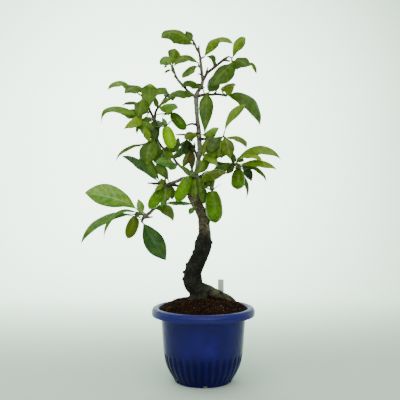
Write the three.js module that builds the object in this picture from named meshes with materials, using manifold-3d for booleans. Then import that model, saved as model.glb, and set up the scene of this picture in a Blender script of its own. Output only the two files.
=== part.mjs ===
// Princess persimmon (Diospyros rhombifolia) grown as a bonsai in a round plastic pot.
// Millimetres, +Z up. The origin is the middle of the pot's base, on the surface it stands on.
// The front of the tree looks towards -Y, and +X is on the right of it.

import * as THREE from 'three';
import { mergeVertices } from 'three/addons/utils/BufferGeometryUtils.js';
import Module from 'manifold-3d';

const wasm = await Module();
wasm.setup();

// Driving dimensions of the pot. over is how far a cutting shape runs past what it cuts.
const POT = {
  rimR: 60,
  mouthR: 51.3,
  rimTop: 85.3,
  lipBottom: 76,
  lipThick: 1.4,
  collarZ: 72.5,
  collarR: 49.8,
  shoulderR: 49.3,
  shoulderZ: 74,
  footR: 33,
  footThick: 1.8,
  floorBottom: 3,
  floorTop: 4.8,
  padR: 9,
  flutes: 36,
  fluteDepth: 0.9,
  fluteTop: 34.5,
  sides: 36,
  over: 1,
};
const SLOTS = { count: 6, width: 5, height: 3.6, from: 17, floorEnd: 28, out: 38, firstTurn: -86 };

// Half sections of the pot as [radius, height], and for the outside the flutes' share of depth
const POT_SIDE = [[POT.footR, 0, 0], [35, 4, 0.5], [40, 12, 1], [44, 21, 1], [46.2, POT.fluteTop, 0]];
const POT_CAVITY = [[33.2, POT.floorTop], [38.2, 12.4], [42.7, 24], [47.6, 73], [POT.mouthR, 79.5]];
const POT_RIM = [[54, 82.2], [POT.rimR - POT.lipThick, 82.2], [POT.rimR - POT.lipThick, POT.lipBottom],
  [POT.rimR, POT.lipBottom], [POT.rimR, 82], [58.4, 84.7], [55.3, POT.rimTop], [52.2, 84.6], [0, 84.6]];

// Driving dimensions of the soil. rows are the rings of its top, as shares of its radius.
const SOIL = { edgeZ: 81.5, crown: 14.5, power: 0.7, lump: 0.7, rows: [1, 0.85, 0.62, 0.38, 0.17], seed: 7 };

// Driving dimensions of the plant label, a blank tag pushed into the soil
const LABEL = { x: 21.4, y: 28, turn: 8, width: 7, thick: 0.8, bottom: 72, top: 113.4, clip: 1.6,
  point: 9.6 };

// Thicknesses and gaps
const GAP = 0.3;
const BLADE = 0.7;
const STALK = { half: 0.75, thick: 1.4, bladeThick: 1.1 };
const FOLD = -14;
const END_HALF = 0.4;

// Places are given as [x, y, z]: x and z as they look from straight in front, measured in the
// trunk's plane, and y as the depth behind that plane. The eye is level and this far off.
const EYE = { x: -3.8, y: -722, z: 209.3 };

function at([x, y, z]) {
  const scale = (y - EYE.y) / -EYE.y;
  return new THREE.Vector3(EYE.x + (x - EYE.x) * scale, y, EYE.z + (z - EYE.z) * scale);
}

// A seeded random number between 0 and 1
function seededRandom(seed) {
  let state = seed;
  return () => {
    state = (state * 1664525 + 1013904223) % 4294967296;
    return state / 4294967296;
  };
}

// Turning a closed mesh into a solid and back. Points nearer than MERGE are one.
const MERGE = 1e-4;

function toSolid(geometry) {
  const bare = geometry.clone();
  bare.deleteAttribute('normal');
  bare.deleteAttribute('uv');
  const merged = mergeVertices(bare, MERGE);
  return new wasm.Manifold(new wasm.Mesh({
    numProp: 3,
    vertProperties: new Float32Array(merged.attributes.position.array),
    triVerts: new Uint32Array(merged.index.array),
  }));
}

function toGeometry(solid) {
  const mesh = solid.getMesh();
  const geometry = new THREE.BufferGeometry();
  geometry.setAttribute('position', new THREE.BufferAttribute(new Float32Array(mesh.vertProperties), 3));
  geometry.setIndex(new THREE.BufferAttribute(new Uint32Array(mesh.triVerts), 1));
  geometry.computeVertexNormals();
  return geometry;
}

const joined = (solids) => solids.reduce((sum, solid) => sum.add(solid));

// The largest loose body of a solid, which drops scraps that a cut leaves
function largest(solid) {
  const bodies = solid.decompose();
  return bodies.reduce((best, body) => (body.volume() > best.volume() ? body : best));
}

// A closed body through rings of points that run anticlockwise about the way they travel.
// capFaces closes each end, and a band k in swapped is split along its other diagonal.
function loft(rings, capFaces, swapped = []) {
  const size = rings[0].length;
  const faces = [];
  for (let i = 0; i + 1 < rings.length; i++) {
    for (let k = 0; k < size; k++) {
      const a = i * size + k;
      const b = i * size + ((k + 1) % size);
      const [c, d] = [a + size, b + size];
      if (swapped.includes(k)) faces.push(a, b, c, b, d, c);
      else faces.push(a, b, d, a, d, c);
    }
  }
  const last = (rings.length - 1) * size;
  for (const [a, b, c] of capFaces) {
    faces.push(c, b, a);
    faces.push(last + a, last + b, last + c);
  }
  const geometry = new THREE.BufferGeometry().setFromPoints(rings.flat());
  geometry.setIndex(faces);
  return toSolid(geometry);
}

const fanCap = (size) => Array.from({ length: size - 2 }, (_, k) => [0, k + 1, k + 2]);

// Straight value between the numbers of a list, t from 0 to 1
function between(values, t) {
  const place = Math.min(t, 1) * (values.length - 1);
  const low = Math.min(Math.floor(place), values.length - 2);
  return THREE.MathUtils.lerp(values[low], values[low + 1], place - low);
}

// A round limb that tapers along stations [x, y, z, radius]. grow makes it that much fatter
// and longer, for the hole or the clearance that it needs. No limb runs along SIDE_HINT.
const SIDE_HINT = new THREE.Vector3(0.3, 1, 0.2);

function limb(stations, { sides, rings, grow = 0, bark = () => 1 }) {
  const curve = new THREE.CatmullRomCurve3(stations.map(at));
  const radii = stations.map((station) => station[3]);
  let side = SIDE_HINT;
  const loops = [];
  for (let i = 0; i <= rings; i++) {
    const t = i / rings;
    const centre = curve.getPoint(t);
    const along = curve.getTangent(t);
    if (i === 0) centre.addScaledVector(along, -grow);
    if (i === rings) centre.addScaledVector(along, grow);
    side = side.clone().projectOnPlane(along).normalize();
    const up = new THREE.Vector3().crossVectors(along, side);
    const loop = [];
    for (let k = 0; k < sides; k++) {
      const turn = (2 * Math.PI * k) / sides;
      const radius = between(radii, t) * bark(turn, centre.z) + grow;
      loop.push(centre.clone()
        .addScaledVector(side, radius * Math.cos(turn))
        .addScaledVector(up, radius * Math.sin(turn)));
    }
    loops.push(loop);
  }
  return loft(loops, fanCap(sides));
}

// A thin folded blade along stations { centre, half, thick }, its upper side looking to face
const BLADE_CAP = [[0, 1, 4], [0, 4, 5], [1, 2, 3], [1, 3, 4]];

function blade(stations, face, fold = FOLD) {
  const rise = THREE.MathUtils.degToRad(fold);
  const rings = stations.map(({ centre, half, thick }, i) => {
    const before = stations[Math.max(i - 1, 0)].centre;
    const after = stations[Math.min(i + 1, stations.length - 1)].centre;
    const along = after.clone().sub(before).normalize();
    const normal = face.clone().projectOnPlane(along).normalize();
    const right = new THREE.Vector3().crossVectors(normal, along);
    const edge = (sign) => centre.clone()
      .addScaledVector(right, sign * half * Math.cos(rise))
      .addScaledVector(normal, half * Math.sin(rise));
    const shift = (point, sign) => point.clone().addScaledVector(normal, (sign * thick) / 2);
    const line = [edge(1), centre, edge(-1)];
    return [...line.map((p) => shift(p, 1)), ...line.reverse().map((p) => shift(p, -1))];
  });
  return loft(rings, BLADE_CAP, [1, 4]);
}

// A smooth curve from a to c that passes through b half way
function curveThrough(a, b, c) {
  const pull = b.clone().multiplyScalar(2).addScaledVector(a, -0.5).addScaledVector(c, -0.5);
  return new THREE.QuadraticBezierCurve3(a, pull, c);
}

// Leaf blades: how far along the midrib, and the half width there as a share of the widest.
// The outline is a blunt rhombus with a wedge-shaped base and a drawn-out tip.
const LEAF_OUTLINE = [[0, 0.1], [0.18, 0.66], [0.43, 1], [0.73, 0.74], [1, 0.03]];
const YOUNG_OUTLINE = [[0, 0.1], [0.42, 1], [1, 0.03]];
const YOUNG_WIDTH = 9;

// leaf(where its stalk leaves the shoot, blade base, middle of the midrib, tip, width,
// the way its upper side looks). Narrow young leaves have the plainer outline.
function leaf(root, base, middle, tip, width, face) {
  const midrib = curveThrough(at(base), at(middle), at(tip));
  const stations = [{ centre: at(root), half: STALK.half, thick: STALK.thick }];
  for (const [t, share] of width < YOUNG_WIDTH ? YOUNG_OUTLINE : LEAF_OUTLINE) {
    const half = Math.max((share * width) / 2, t === 0 ? STALK.half : END_HALF);
    stations.push({ centre: midrib.getPoint(t), half, thick: t === 0 ? STALK.bladeThick : BLADE });
  }
  return blade(stations, new THREE.Vector3(...face));
}

const shoot = (...stations) => limb(stations, { sides: 3, rings: stations.length - 1 });

// Wood. Every limb is a list of stations [x, y, z, radius], thick end first.

const TRUNK_SIDES = 10;
const TRUNK = [
  [-4, 0, 82, 11], [-4.5, 0, 92, 10.5], [-5, 0, 99, 9.5], [-7.7, 0, 105, 9.8], [-10.6, 0, 110.5, 10.4],
  [-12.4, 0, 115.5, 11], [-12.2, -0.5, 120.5, 10.4], [-11.6, -1, 126, 9.9], [-9.6, -1.5, 132, 9.8],
  [-6.8, -2, 138, 9.5], [-3.8, -2.5, 144, 9.1], [-1.6, -3, 150, 9.2], [-0.2, -3, 156, 9.7],
  [0.3, -2.5, 161, 9.4], [1.1, -1.5, 166, 7.9], [1.5, -0.5, 171, 6.4], [1, 1, 178, 6], [0.8, 2.5, 186, 6.5],
  [-1.8, 3.5, 193.5, 5.9], [-5.5, 4, 201, 6.1], [-9.5, 4, 208, 6.1], [-13, 3, 214, 5.3],
    [-15.4, 2.5, 219, 3.6],
];

const ROOTS = [
  [[-5, 2, 107, 7.4], [5, 3.5, 104, 6.2], [14, 5, 100.2, 5.7], [23, 7, 96.6, 5.2], [30, 8, 93.3, 4.5],
    [36, 9, 89, 3.4], [41, 9, 84, 2.2]],
  [[-7, 3, 100, 7.5], [-16, 9, 94.5, 4.6], [-26, 15, 90, 3.2], [-35, 19, 84, 2]],
  [[-7, -2, 99, 6.5], [-16, -9, 93, 3.8], [-25, -16, 88, 2.6], [-33, -22, 82, 1.8]],
  [[-3, -3, 99, 7], [0, -12, 94, 4], [4, -22, 88.5, 2.8], [8, -31, 82.5, 2]],
  [[0, 5, 100, 6.5], [6, 15, 94.5, 4.4], [11, 26, 89.5, 3.2], [15, 35, 83, 2]],
];

// Short snags on the outer side of the old trunk, where twigs were cut off
const SNAGS = [
  [[-18, -1, 125, 2.4], [-24.2, -1, 125.4, 1.3]], [[-15, -2, 133.5, 2.6], [-20.4, -3, 134.6, 1.4]],
  [[-18, -3, 117, 2.6], [-24.6, -4, 117.6, 1.5]], [[-8, -3, 148.5, 2.4], [-12.6, -4, 149.4, 1.4]],
  [[-10, -2, 141, 2.2], [-15.2, -3, 142, 1.3]], [[6, -3, 159, 2.4], [10.9, -4, 160.2, 1.4]],
  [[-3, 1, 206, 2.6], [1.4, -1.5, 209.5, 1.6]],
];

const LIMBS = [
  // Leader, from the top of the old trunk to the upper fork
  [[-10, 1, 206, 4.2], [-8.8, -1, 214, 3.7], [-8.4, -2, 227, 3.1], [-7.8, -1, 240.5, 2.5],
    [-5.9, 0, 253.5, 2.4], [-4.1, 1, 267.4, 2.7], [-4.7, 1, 278, 2.6], [-5.5, 0, 292, 2.5],
    [-7, 0, 304, 2.2], [-7.8, 1, 316.5, 2.2], [-7.9, 2, 328.7, 2.6], [-6.4, 2, 335.5, 2.1],
    [-3, 2, 340, 1.9], [-1.4, 2, 344.5, 1.8], [-0.5, 2, 350, 1.6]],
  // Left and right tops of the fork
  [[-0.6, 2, 348, 1.6], [-1.5, 1, 355, 1.5], [-2.2, 0, 362, 1.45], [-3, -1, 369, 1.35],
    [-3.8, -1, 376, 1.25], [-4.9, -1, 382, 1.1], [-5.2, -2, 389.5, 0.6]],
  [[-4.6, -1, 380, 1.1], [-8, 0, 386, 1], [-10, 1, 391, 0.9], [-12, 2, 395.5, 0.7]],
  [[-0.6, 2, 348, 1.6], [2, 3, 353, 1.5], [4.4, 4, 357, 1.4], [8, 5, 360, 1.4], [12, 6, 363, 1.4],
    [18, 7, 368, 1.3], [25, 7, 373.5, 1.2], [30, 6, 376.8, 0.7]],
  [[23.5, 7, 372.3, 1.1], [31.5, 9, 371, 0.7]],
  // Upper left twig
  [[-7.8, 2, 327.5, 1.6], [-12, 0, 331.5, 1.4], [-17, -3, 335.2, 1.3], [-21.5, -5, 340, 1.2],
    [-26, -7, 345, 1.2], [-30, -9, 350, 1.1], [-33, -10, 356, 1], [-34.6, -10, 361, 1],
    [-36, -10, 366.5, 0.7]],
  // Upper right branch
  [[-7, 2, 330, 1.6], [-3, 5, 331, 1.5], [3, 8, 332.5, 1.4], [10, 11, 332, 1.3], [15, 13, 332.5, 1.2],
    [20, 14, 332, 1.1], [27.5, 15, 330, 0.7]],
  [[12, 12, 332, 0.9], [16, 12, 337, 0.5]],
  // Middle right branch
  [[-4.7, 1, 280, 1.8], [1, -4, 280.5, 1.6], [5, -7, 280, 1.5], [10, -10, 281, 1.4],
    [15, -12, 281, 1.3], [20, -13, 282, 1.1], [23, -13, 283, 0.7]],
  // Lower right branch, passing behind its own leaves
  [[-8.3, -1, 230, 2.1], [-5, 3, 235.5, 2], [2, 8, 238.5, 1.9], [14, 13, 241.5, 1.8],
    [26.5, 16, 245.5, 1.6], [33, 17, 250, 1.5], [36, 17, 256, 1.1], [36.2, 17, 262.5, 0.6]],
  // Left snag and the bare twig under it
  [[-6, 0, 296.3, 1.5], [-13, -1, 298, 1.1], [-20, -2, 296, 0.7]],
  [[-5.2, 0, 287, 1.2], [-14, 4, 286.4, 1], [-21, 6, 285.6, 0.9], [-32, 8, 285.4, 0.5]],
  // Left branch to the upper left leaves, with its two forks
  [[-9, -1, 230, 2.4], [-12, 2, 235, 2.3], [-20, 4, 242.5, 2.2], [-30.6, 4, 252.5, 2.1],
    [-36.5, 2, 260.5, 1.9], [-47.8, -1, 271, 1.8], [-53.4, -3, 280, 1.7], [-56, -5, 293, 1.6],
    [-57, -6, 305, 1.4]],
  [[-56.8, -6, 302, 1.4], [-55, -5, 313, 1.2], [-49, -3, 321, 1.1], [-45, -1, 327, 1], [-40, 1, 333.5, 0.7]],
  [[-56.8, -6, 302, 1.4], [-62, -9, 313, 1.2], [-68, -11, 323, 1.1], [-71, -12, 329.5, 0.7]],
  // Low left branch, drooping at its end behind a fruit
  [[-12, 1, 217, 3], [-13, -4, 228, 2.7], [-17, -7, 234.5, 2.5], [-24, -9, 234.5, 2.5],
    [-30, -11, 231.5, 2.7], [-37, -14, 229, 2.6], [-44, -17, 226, 2.1], [-50, -14, 215, 1.7],
    [-54, -10, 205, 1.4], [-57.5, -9, 197, 1.3], [-64, -9, 191, 1.3], [-70, -10, 187.5, 1.2],
    [-72, -10, 183, 0.9]],
  [[-69, -10, 188.6, 1], [-58.6, -11, 189.7, 0.4]],
  [[-45, -17, 227, 1.3], [-51, -19, 228, 1], [-65, -21, 229, 0.5]],
  [[-44.3, -17, 227, 1.2], [-44.5, -18, 234.5, 0.8]],
  // Back branches, hidden from the front
  [[-6.2, 1, 258, 1.9], [-8, 12, 263, 1.5], [-12, 24, 270, 1.2], [-15, 34, 276, 0.8]],
  [[-4.2, 2, 268, 1.8], [3, 14, 268, 1.4], [11, 26, 269, 1.1], [16, 36, 271, 0.8]],
  [[-2, 2, 343, 1.2], [-7, 14, 344, 1], [-11, 24, 343, 0.7]],
];

// Thorns and spurs, each a short cone
const SPURS = [
  [[-1.6, 1, 355.5, 0.9], [-6.4, 0, 356.2, 0.4]], [[3.2, 4, 357.5, 0.9], [5.6, 2, 364.2, 0.4]],
  [[13, 6, 365, 1.2], [14.4, 5, 370.5, 0.8]], [[-3.4, -1, 373.6, 0.9], [1.2, -4, 376.2, 0.5]],
  [[12, -11, 281, 0.9], [12.2, -12, 285.2, 0.4]], [[-1.8, 2, 342, 0.9], [1.2, -1, 334, 0.5]],
  [[-30, -9, 351, 0.9], [-34.5, -11, 353.5, 0.4]], [[-21, -5, 340, 0.9], [-19.5, -7, 344.4, 0.4]],
];

const barkRidges = (turn, z) => 1 + 0.05 * Math.sin(2 * turn + z / 9) + 0.035 * Math.sin(5 * turn - z / 6);

const roots = (grow) => ROOTS.map((root) => limb(root, { sides: 6, rings: root.length - 1, grow }));

// The part of the wood that stands in the soil, by itself, made larger for its hole
function buriedWood() {
  const stump = limb(TRUNK.slice(0, 4), { sides: TRUNK_SIDES, rings: 3, grow: GAP, bark: barkRidges });
  return joined([stump, ...roots(GAP)]);
}

function wood(grow = 0) {
  const trunk = limb(TRUNK, { sides: TRUNK_SIDES, rings: TRUNK.length - 1, grow, bark: barkRidges });
  const pieces = [trunk, ...roots(grow)];
  for (const snag of SNAGS) pieces.push(limb(snag, { sides: 4, rings: 1, grow }));
  for (const path of LIMBS) {
    const sides = path[0][3] > 2 ? 6 : 4;
    pieces.push(limb(path, { sides, rings: path.length - 1, grow }));
  }
  for (const spur of SPURS) pieces.push(limb(spur, { sides: 3, rings: 1, grow }));
  return joined(pieces);
}

// Leafy shoots. Each is one green body: its shoot, where it has one, and its leaves.

const SPRAYS = {
  leaves_apex: () => [
    shoot([-11.4, 2, 392.5, 1.3], [-12.6, 1, 396.5, 1]),
    leaf([-12, 1.6, 394.5], [-14.5, 1, 395], [-31, -6, 404.5], [-49, -14, 399.5], 19, [0.1, -0.75, 0.65]),
    leaf([-12.5, 1.2, 396], [-14, 2, 397], [-15.5, 6, 402], [-19, 9, 407], 6.5, [-0.6, -0.6, 0.5]),
  ],
  leaf_crown: () => [
    leaf([0, -3, 375.5], [4.5, -6, 382], [18.5, -13, 398.6], [35, -20, 393], 20, [0.2, -0.66, 0.74]),
  ],
  leaf_right_spur: () => [
    leaf([12.4, 6, 363.6], [12.2, 4.5, 367.6], [11, 2, 375], [5.5, 0, 375.5], 7.5, [-0.5, -0.7, 0.5]),
  ],
  leaves_left_leader: () => [
    shoot([-3.2, -1, 362.5, 1.1], [-5.4, -4, 366, 1.1], [-6.4, -5, 370, 0.9]),
    leaf([-6.1, -5, 369], [-10, -7, 372], [-21.5, -15, 378], [-34.5, -23, 367.5], 20.5, [0, -0.5, 0.87]),
    leaf([-4.6, -3.4, 364], [-9, -6, 363], [-15.5, -12, 360], [-22, -17, 351.5], 17, [-0.3, -0.7, 0.65]),
  ],
  leaves_far_left_twig: () => [
    shoot([-35, -11, 357, 1], [-36.6, -12.5, 361.5, 1], [-37.4, -12, 368, 0.9]),
    leaf([-37.2, -12, 367], [-37, -12, 370], [-35.6, -5, 383.5], [-35, 14, 383.5], 17, [0.1, -0.75, 0.66]),
    leaf([-37.4, -12, 366.5], [-39.5, -12.5, 368], [-43.5, -14, 371.4], [-49.6, -16, 369.6],
      13, [0, -0.9, 0.4]),
    leaf([-36, -12, 359.5], [-38, -12.5, 360.6], [-42, -14, 361], [-45.8, -15, 357.5], 5, [0, -0.15, 1]),
  ],
  leaf_fork_dark: () => [
    leaf([-3.6, 1.4, 340], [-6.5, -2, 343.2], [-15.5, -8, 346.6], [-26.5, -12, 340.2], 17, [0, -0.42, 0.9]),
  ],
  leaf_over_twig: () => [
    leaf([-10.5, 0, 330.3], [-14.5, -5, 331.8], [-25, -13, 337], [-40, -20, 329.5], 17, [0, -0.42, 0.9]),
  ],
  leaves_right_leader: () => [
    shoot([29.5, 6.5, 376.2, 1.1], [32.5, 7.5, 375, 1.1], [33.4, 9, 371, 1]),
    leaf([31.5, 7, 375.6], [35.6, 5, 376], [41.5, 0, 387.5], [48.5, -4, 398.5], 15, [-0.4, -0.8, 0.3]),
    leaf([33, 8.5, 372], [30.6, 3, 368], [26, -6, 356.6], [16.5, -11, 340.8], 21, [-0.2, -0.95, 0.25]),
    leaf([33.4, 9, 371.5], [35.5, 6, 370.5], [43, -1, 367.6], [52, -8, 365.5], 19, [0, -0.9, 0.45]),
    leaf([33.4, 9.2, 371.2], [38, 12, 371.8], [52, 17, 371.5], [61.5, 19, 358.5], 12.5, [0.3, 0.1, 0.95]),
  ],
  leaves_upper_right: () => [
    shoot([25, 14.5, 331, 1], [29, 13.4, 331.6, 1]),
    leaf([26.8, 14, 331.4], [22.5, 10, 335.5], [28.5, 4, 341], [37, -2, 343.5], 14, [-0.3, -0.8, 0.5]),
    leaf([28.6, 13.4, 331.6], [31.5, 13, 331.6], [53.5, 7, 329.5], [66.5, 1, 299], 19.5, [0.4, -0.75, 0.5]),
    leaf([28.4, 13.6, 331.4], [31, 18, 330], [42, 30, 326], [50, 40, 314], 17, [0.4, 0.4, 0.8]),
  ],
  leaves_centre_right: () => [
    shoot([3, 7.6, 333, 1], [6.4, 6, 334.6, 1]),
    leaf([4, 7, 333.6], [4, 3, 331.4], [3.4, -6, 312], [3, -10, 290], 16.5, [0.05, -1, 0.1]),
    leaf([6.2, 6.2, 334.4], [8.6, 6, 337], [13.5, 5, 346.5], [18, 3, 356.5], 16, [-0.3, -0.9, 0.2]),
  ],
  leaves_middle_right: () => [
    shoot([20.5, -13.5, 282.4, 1], [24.4, -14.6, 283, 1.1]),
    leaf([23.2, -14.4, 283], [24.6, -13.8, 291], [34.5, -10, 306], [45.2, -6, 319.5], 14, [0.7, -0.45, 0.3]),
    leaf([24.2, -14.6, 283], [27.5, -16, 281.6], [42, -21, 283], [50.5, -26, 271.5], 13, [0, -0.45, 0.9]),
    leaf([23.8, -14.6, 282.6], [24.6, -18, 279.5], [29.2, -25, 270], [33, -28, 257.5],
      18.5, [0.15, -0.98, 0.1]),
    leaf([22, -14, 282.4], [19.5, -12, 278.6], [12.5, -5, 271], [5.5, 0, 261.5], 17, [-0.3, -0.85, 0.4]),
  ],
  leaf_middle_stem: () => [
    leaf([-3.6, 0, 285], [1.6, -4, 286.4], [9.5, -8, 290.6], [18, -11, 293.8], 12.5, [-0.2, -0.7, 0.6]),
  ],
  leaves_right_hub: () => [
    shoot([34.5, 16, 250.5, 1.3], [38.4, 14.4, 252, 1.3], [39.6, 14, 256.5, 1]),
    leaf([39.4, 14, 256], [46.5, 12, 265], [67, 4, 271.5], [91, -6, 257.5], 20, [0.1, -0.52, 0.86]),
    leaf([39, 14, 254], [44, 11, 258.4], [56, 2, 262.4], [69.5, -6, 255], 14, [0, -0.42, 0.9]),
    leaf([38.6, 14.6, 252.4], [46, 13.4, 249], [63, 8, 254.4], [85.5, 1, 245], 16, [0.05, -0.42, 0.9]),
    leaf([38, 15, 251.5], [47, 20, 248.5], [63, 17, 244.2], [73.5, 13, 230.5], 11.5, [0.3, -0.3, 0.9]),
    leaf([37.8, 15.4, 251], [47.5, 25, 246.5], [51, 28, 240], [54, 30, 230.5], 11.5, [0.2, -0.95, 0.1]),
    leaf([37.2, 15.6, 250.8], [44.5, 20, 239], [52.2, 22, 227.4], [51, 22, 211.5], 7, [0.8, -0.5, 0.1]),
    leaf([36, 15.2, 251.4], [31, 12.5, 254], [24, 8, 251], [15.5, 4, 246.5], 12.5, [0, -0.75, 0.7]),
  ],
  leaf_low_yellow: () => [
    leaf([-7.6, -2.4, 231], [-2.5, -8, 232.8], [13, -14, 241.6], [31, -18, 243.5], 18.5, [0, -0.72, 0.69]),
  ],
  leaf_bright_inner: () => [
    leaf([-4, -0.6, 264], [1, -8, 264.8], [11, -17, 259], [17, -20, 248.5], 14, [0.3, -0.85, 0.4]),
  ],
  leaves_trunk_left: () => [
    shoot([-9, -1.5, 202.5, 1.3], [-11.5, -5, 203, 1.1]),
    leaf([-11, -4.4, 203], [-15, -7, 204.6], [-30, -10, 206.2], [-46, -9, 204], 11.5, [0, -0.22, 0.97]),
    leaf([-10.8, -4.2, 202.6], [-12.3, -6.6, 200], [-14.2, -7.6, 197], [-16.4, -8.4, 192],
      7, [-0.1, -0.95, 0.2]),
  ],
  leaves_upper_left_tip: () => [
    shoot([-70, -12, 327, 1.1], [-72.4, -13.4, 331.5, 1]),
    leaf([-72.2, -13.2, 331], [-85.5, -14, 341], [-98, -18, 348.2], [-112.8, -22, 339.2],
      20, [0, -0.5, 0.86]),
    leaf([-72.2, -13.4, 331.2], [-75, -18, 334.6], [-83, -23, 339], [-94, -27, 333], 15, [0, -0.6, 0.8]),
    leaf([-70.6, -12.6, 328.4], [-69, -18, 325.6], [-72, -22, 315.5], [-75, -24, 305.5],
      15, [-0.2, -0.95, 0.2]),
    leaf([-71, -12.4, 329], [-66, 0, 329], [-62, 14, 331], [-58, 27, 325], 17, [0.2, 0.3, 0.9]),
  ],
  leaf_curled_bright: () => [
    leaf([-61.4, -9, 312.6], [-63.5, -15, 320], [-61, -25, 336.5], [-60.5, -41, 341], 19.5, [0, 0.55, 0.83]),
  ],
  leaves_inner_fork: () => [
    shoot([-41.4, 0.6, 332, 1], [-41, -1.6, 334.6, 0.9]),
    leaf([-41.2, -1, 334], [-43, -3, 334.8], [-48.5, -8, 336.6], [-55.5, -12, 330.4], 15, [0, -0.6, 0.8]),
    leaf([-41, -0.8, 333.6], [-40.5, 5, 333], [-38, 16, 331.5], [-35, 26, 325], 15, [0.2, 0.3, 0.9]),
  ],
  leaf_fork_green: () => [
    leaf([-51, -4, 318.6], [-46.5, -8, 319.6], [-38, -13, 318.4], [-29, -17, 316.6], 12.5, [0, -0.7, 0.7]),
  ],
  leaves_left_fork: () => [
    shoot([-61.5, -8.6, 311.4, 1.1], [-65, -9.4, 312.4, 1.1]),
    leaf([-64.6, -9.4, 312.4], [-76.5, -13, 312.6], [-100, -20, 318.4], [-122.5, -26, 305],
      19, [0, -0.5, 0.86]),
    leaf([-64.2, -9.4, 312.2], [-75, -6, 309], [-86, 2, 312.6], [-96, 10, 308], 15, [0, -0.6, 0.8]),
    leaf([-63.8, -9.4, 311.8], [-76, -18, 307.6], [-83.5, -22, 301.5], [-90.5, -27, 291.5],
      15, [-0.4, -0.6, 0.7]),
    leaf([-64.8, -9, 313], [-73, -2, 321], [-84.5, 2, 324.2], [-95.6, 4, 320], 14, [0, -0.02, 1]),
  ],
  leaves_left_branch: () => [
    shoot([-54.6, -3.6, 283, 1.3], [-57.6, -8, 282.6, 1.2]),
    leaf([-57.2, -7.6, 282.6], [-61.5, -10, 282.8], [-68.5, -15, 292], [-77, -19, 303.8],
      15, [-0.5, -0.75, 0.4]),
    leaf([-57.4, -8, 282.6], [-63, -15, 280.6], [-70, -20, 283.6], [-77, -24, 289.6], 6.5, [0, -0.5, 0.86]),
    leaf([-56.8, -7, 282.4], [-74, -6, 270.6], [-86.5, -9, 270], [-101, -13, 259], 11.5, [0, -0.6, 0.8]),
    leaf([-57.2, -8, 282.2], [-58.5, -13, 278.6], [-64, -24, 266.5], [-66, -31, 247],
      22, [-0.1, -0.98, 0.15]),
  ],
  leaf_blue_green: () => [
    leaf([-28, 3.4, 250.2], [-33.5, -4, 251.6], [-43, -10, 254.6], [-55, -14, 253.6], 17, [0, -0.88, 0.45]),
  ],
  leaves_low_left_hub: () => [
    shoot([-48.4, -17.6, 227.4, 1.3], [-49.6, -21.4, 229.4, 1.3]),
    leaf([-49.4, -21, 229.2], [-57.5, -23, 231.4], [-75, -28, 250], [-98.5, -32, 262],
      18.5, [0.4, -0.55, 0.7]),
    leaf([-49.4, -21, 229.4], [-51.6, -22, 232], [-57.5, -25, 240], [-64.5, -28, 249], 15, [0.4, -0.7, 0.55]),
    leaf([-49.2, -20.6, 229], [-49.4, -27, 229.5], [-51.5, -38, 226.5], [-54, -47, 216], 13, [0, 0.2, 1]),
  ],
  leaf_low_left: () => [
    leaf([-39.6, -15, 229.4], [-40.6, -19, 233], [-45.5, -22, 239.6], [-53, -23, 247], 15, [0.4, -0.8, 0.45]),
  ],
  leaf_olive_stem: () => [
    leaf([-5.6, -1, 283], [-9.8, -4, 284], [-15.5, -8, 284.4], [-23, -11, 281.4], 12.5, [0, -0.75, 0.65]),
  ],
  leaves_back_centre: () => [
    shoot([-13.6, 30, 273.6, 1.1], [-16.4, 36.5, 277.6, 1]),
    leaf([-14.8, 33, 275.6], [-15.2, 28, 266], [-18, 24, 271.5], [-17.4, 22, 280], 12.5, [-0.2, -0.95, 0.2]),
    leaf([-16.2, 36, 277.4], [-17, 42, 278.6], [-20, 54, 277], [-23, 64, 268], 19.5, [0, 0.35, 0.93]),
    leaf([-16, 35.6, 276.6], [-21, 36, 273], [-28, 40, 268], [-36, 44, 257], 18.5, [-0.3, 0.3, 0.9]),
  ],
  leaves_back_right: () => [
    shoot([14, 33, 270, 1.1], [18, 39, 272, 1]),
    leaf([17.6, 38.4, 271.8], [19, 44, 272], [21, 56, 268], [21, 64, 258], 19.5, [0.1, 0.4, 0.9]),
    leaf([17.6, 38.4, 272], [15, 40, 276], [10, 46, 282], [6, 54, 284], 17, [-0.3, 0.3, 0.9]),
  ],
  leaves_back_top: () => [
    shoot([-9.6, 21, 343.4, 1], [-12, 27, 343.4, 0.9]),
    leaf([-11.6, 26, 343.4], [-12, 30, 343.6], [-13, 42, 345.6], [-15, 52, 341], 16, [0, 0.3, 0.95]),
    leaf([-11.8, 26.4, 343.4], [-8.5, 29, 342.6], [-4, 38, 343.6], [0, 46, 340], 15, [0.3, 0.3, 0.9]),
  ],
  leaves_back_left_branch: () => [
    shoot([-45.6, -0.4, 269.4, 1.2], [-47, 4, 268, 1.1]),
    leaf([-46.8, 3.6, 268], [-50, 7, 267.6], [-56, 20, 266], [-62, 32, 257], 18.5, [-0.3, 0.3, 0.9]),
    leaf([-46.8, 3.6, 268], [-46, 9, 266.6], [-43, 22, 264], [-41, 33, 255], 17, [0.2, 0.35, 0.9]),
  ],
  leaves_back_left_fork: () => [
    shoot([-56.8, -5.4, 300.6, 1.2], [-58.6, -1, 302, 1.1]),
    leaf([-58.4, -1.4, 302], [-61, 4, 303.6], [-65, 16, 306], [-69, 29, 299], 18.5, [-0.2, 0.3, 0.9]),
    leaf([-58.2, -1.6, 301.8], [-56, 5, 301], [-53, 18, 301], [-50, 30, 293], 16, [0.2, 0.3, 0.9]),
  ],
  leaves_back_low_right: () => [
    shoot([12.6, 13.4, 242.4, 1.2], [12.4, 17.6, 243.4, 1.1]),
    leaf([12.4, 17.2, 243.2], [13, 23, 243.6], [14.5, 35, 243], [15, 46, 234.5], 17, [0.1, 0.35, 0.93]),
    leaf([12.4, 17, 243.2], [8, 20, 243], [2, 30, 242], [-3, 40, 233], 16, [-0.3, 0.35, 0.9]),
  ],
  leaves_low_end: () => [
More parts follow.
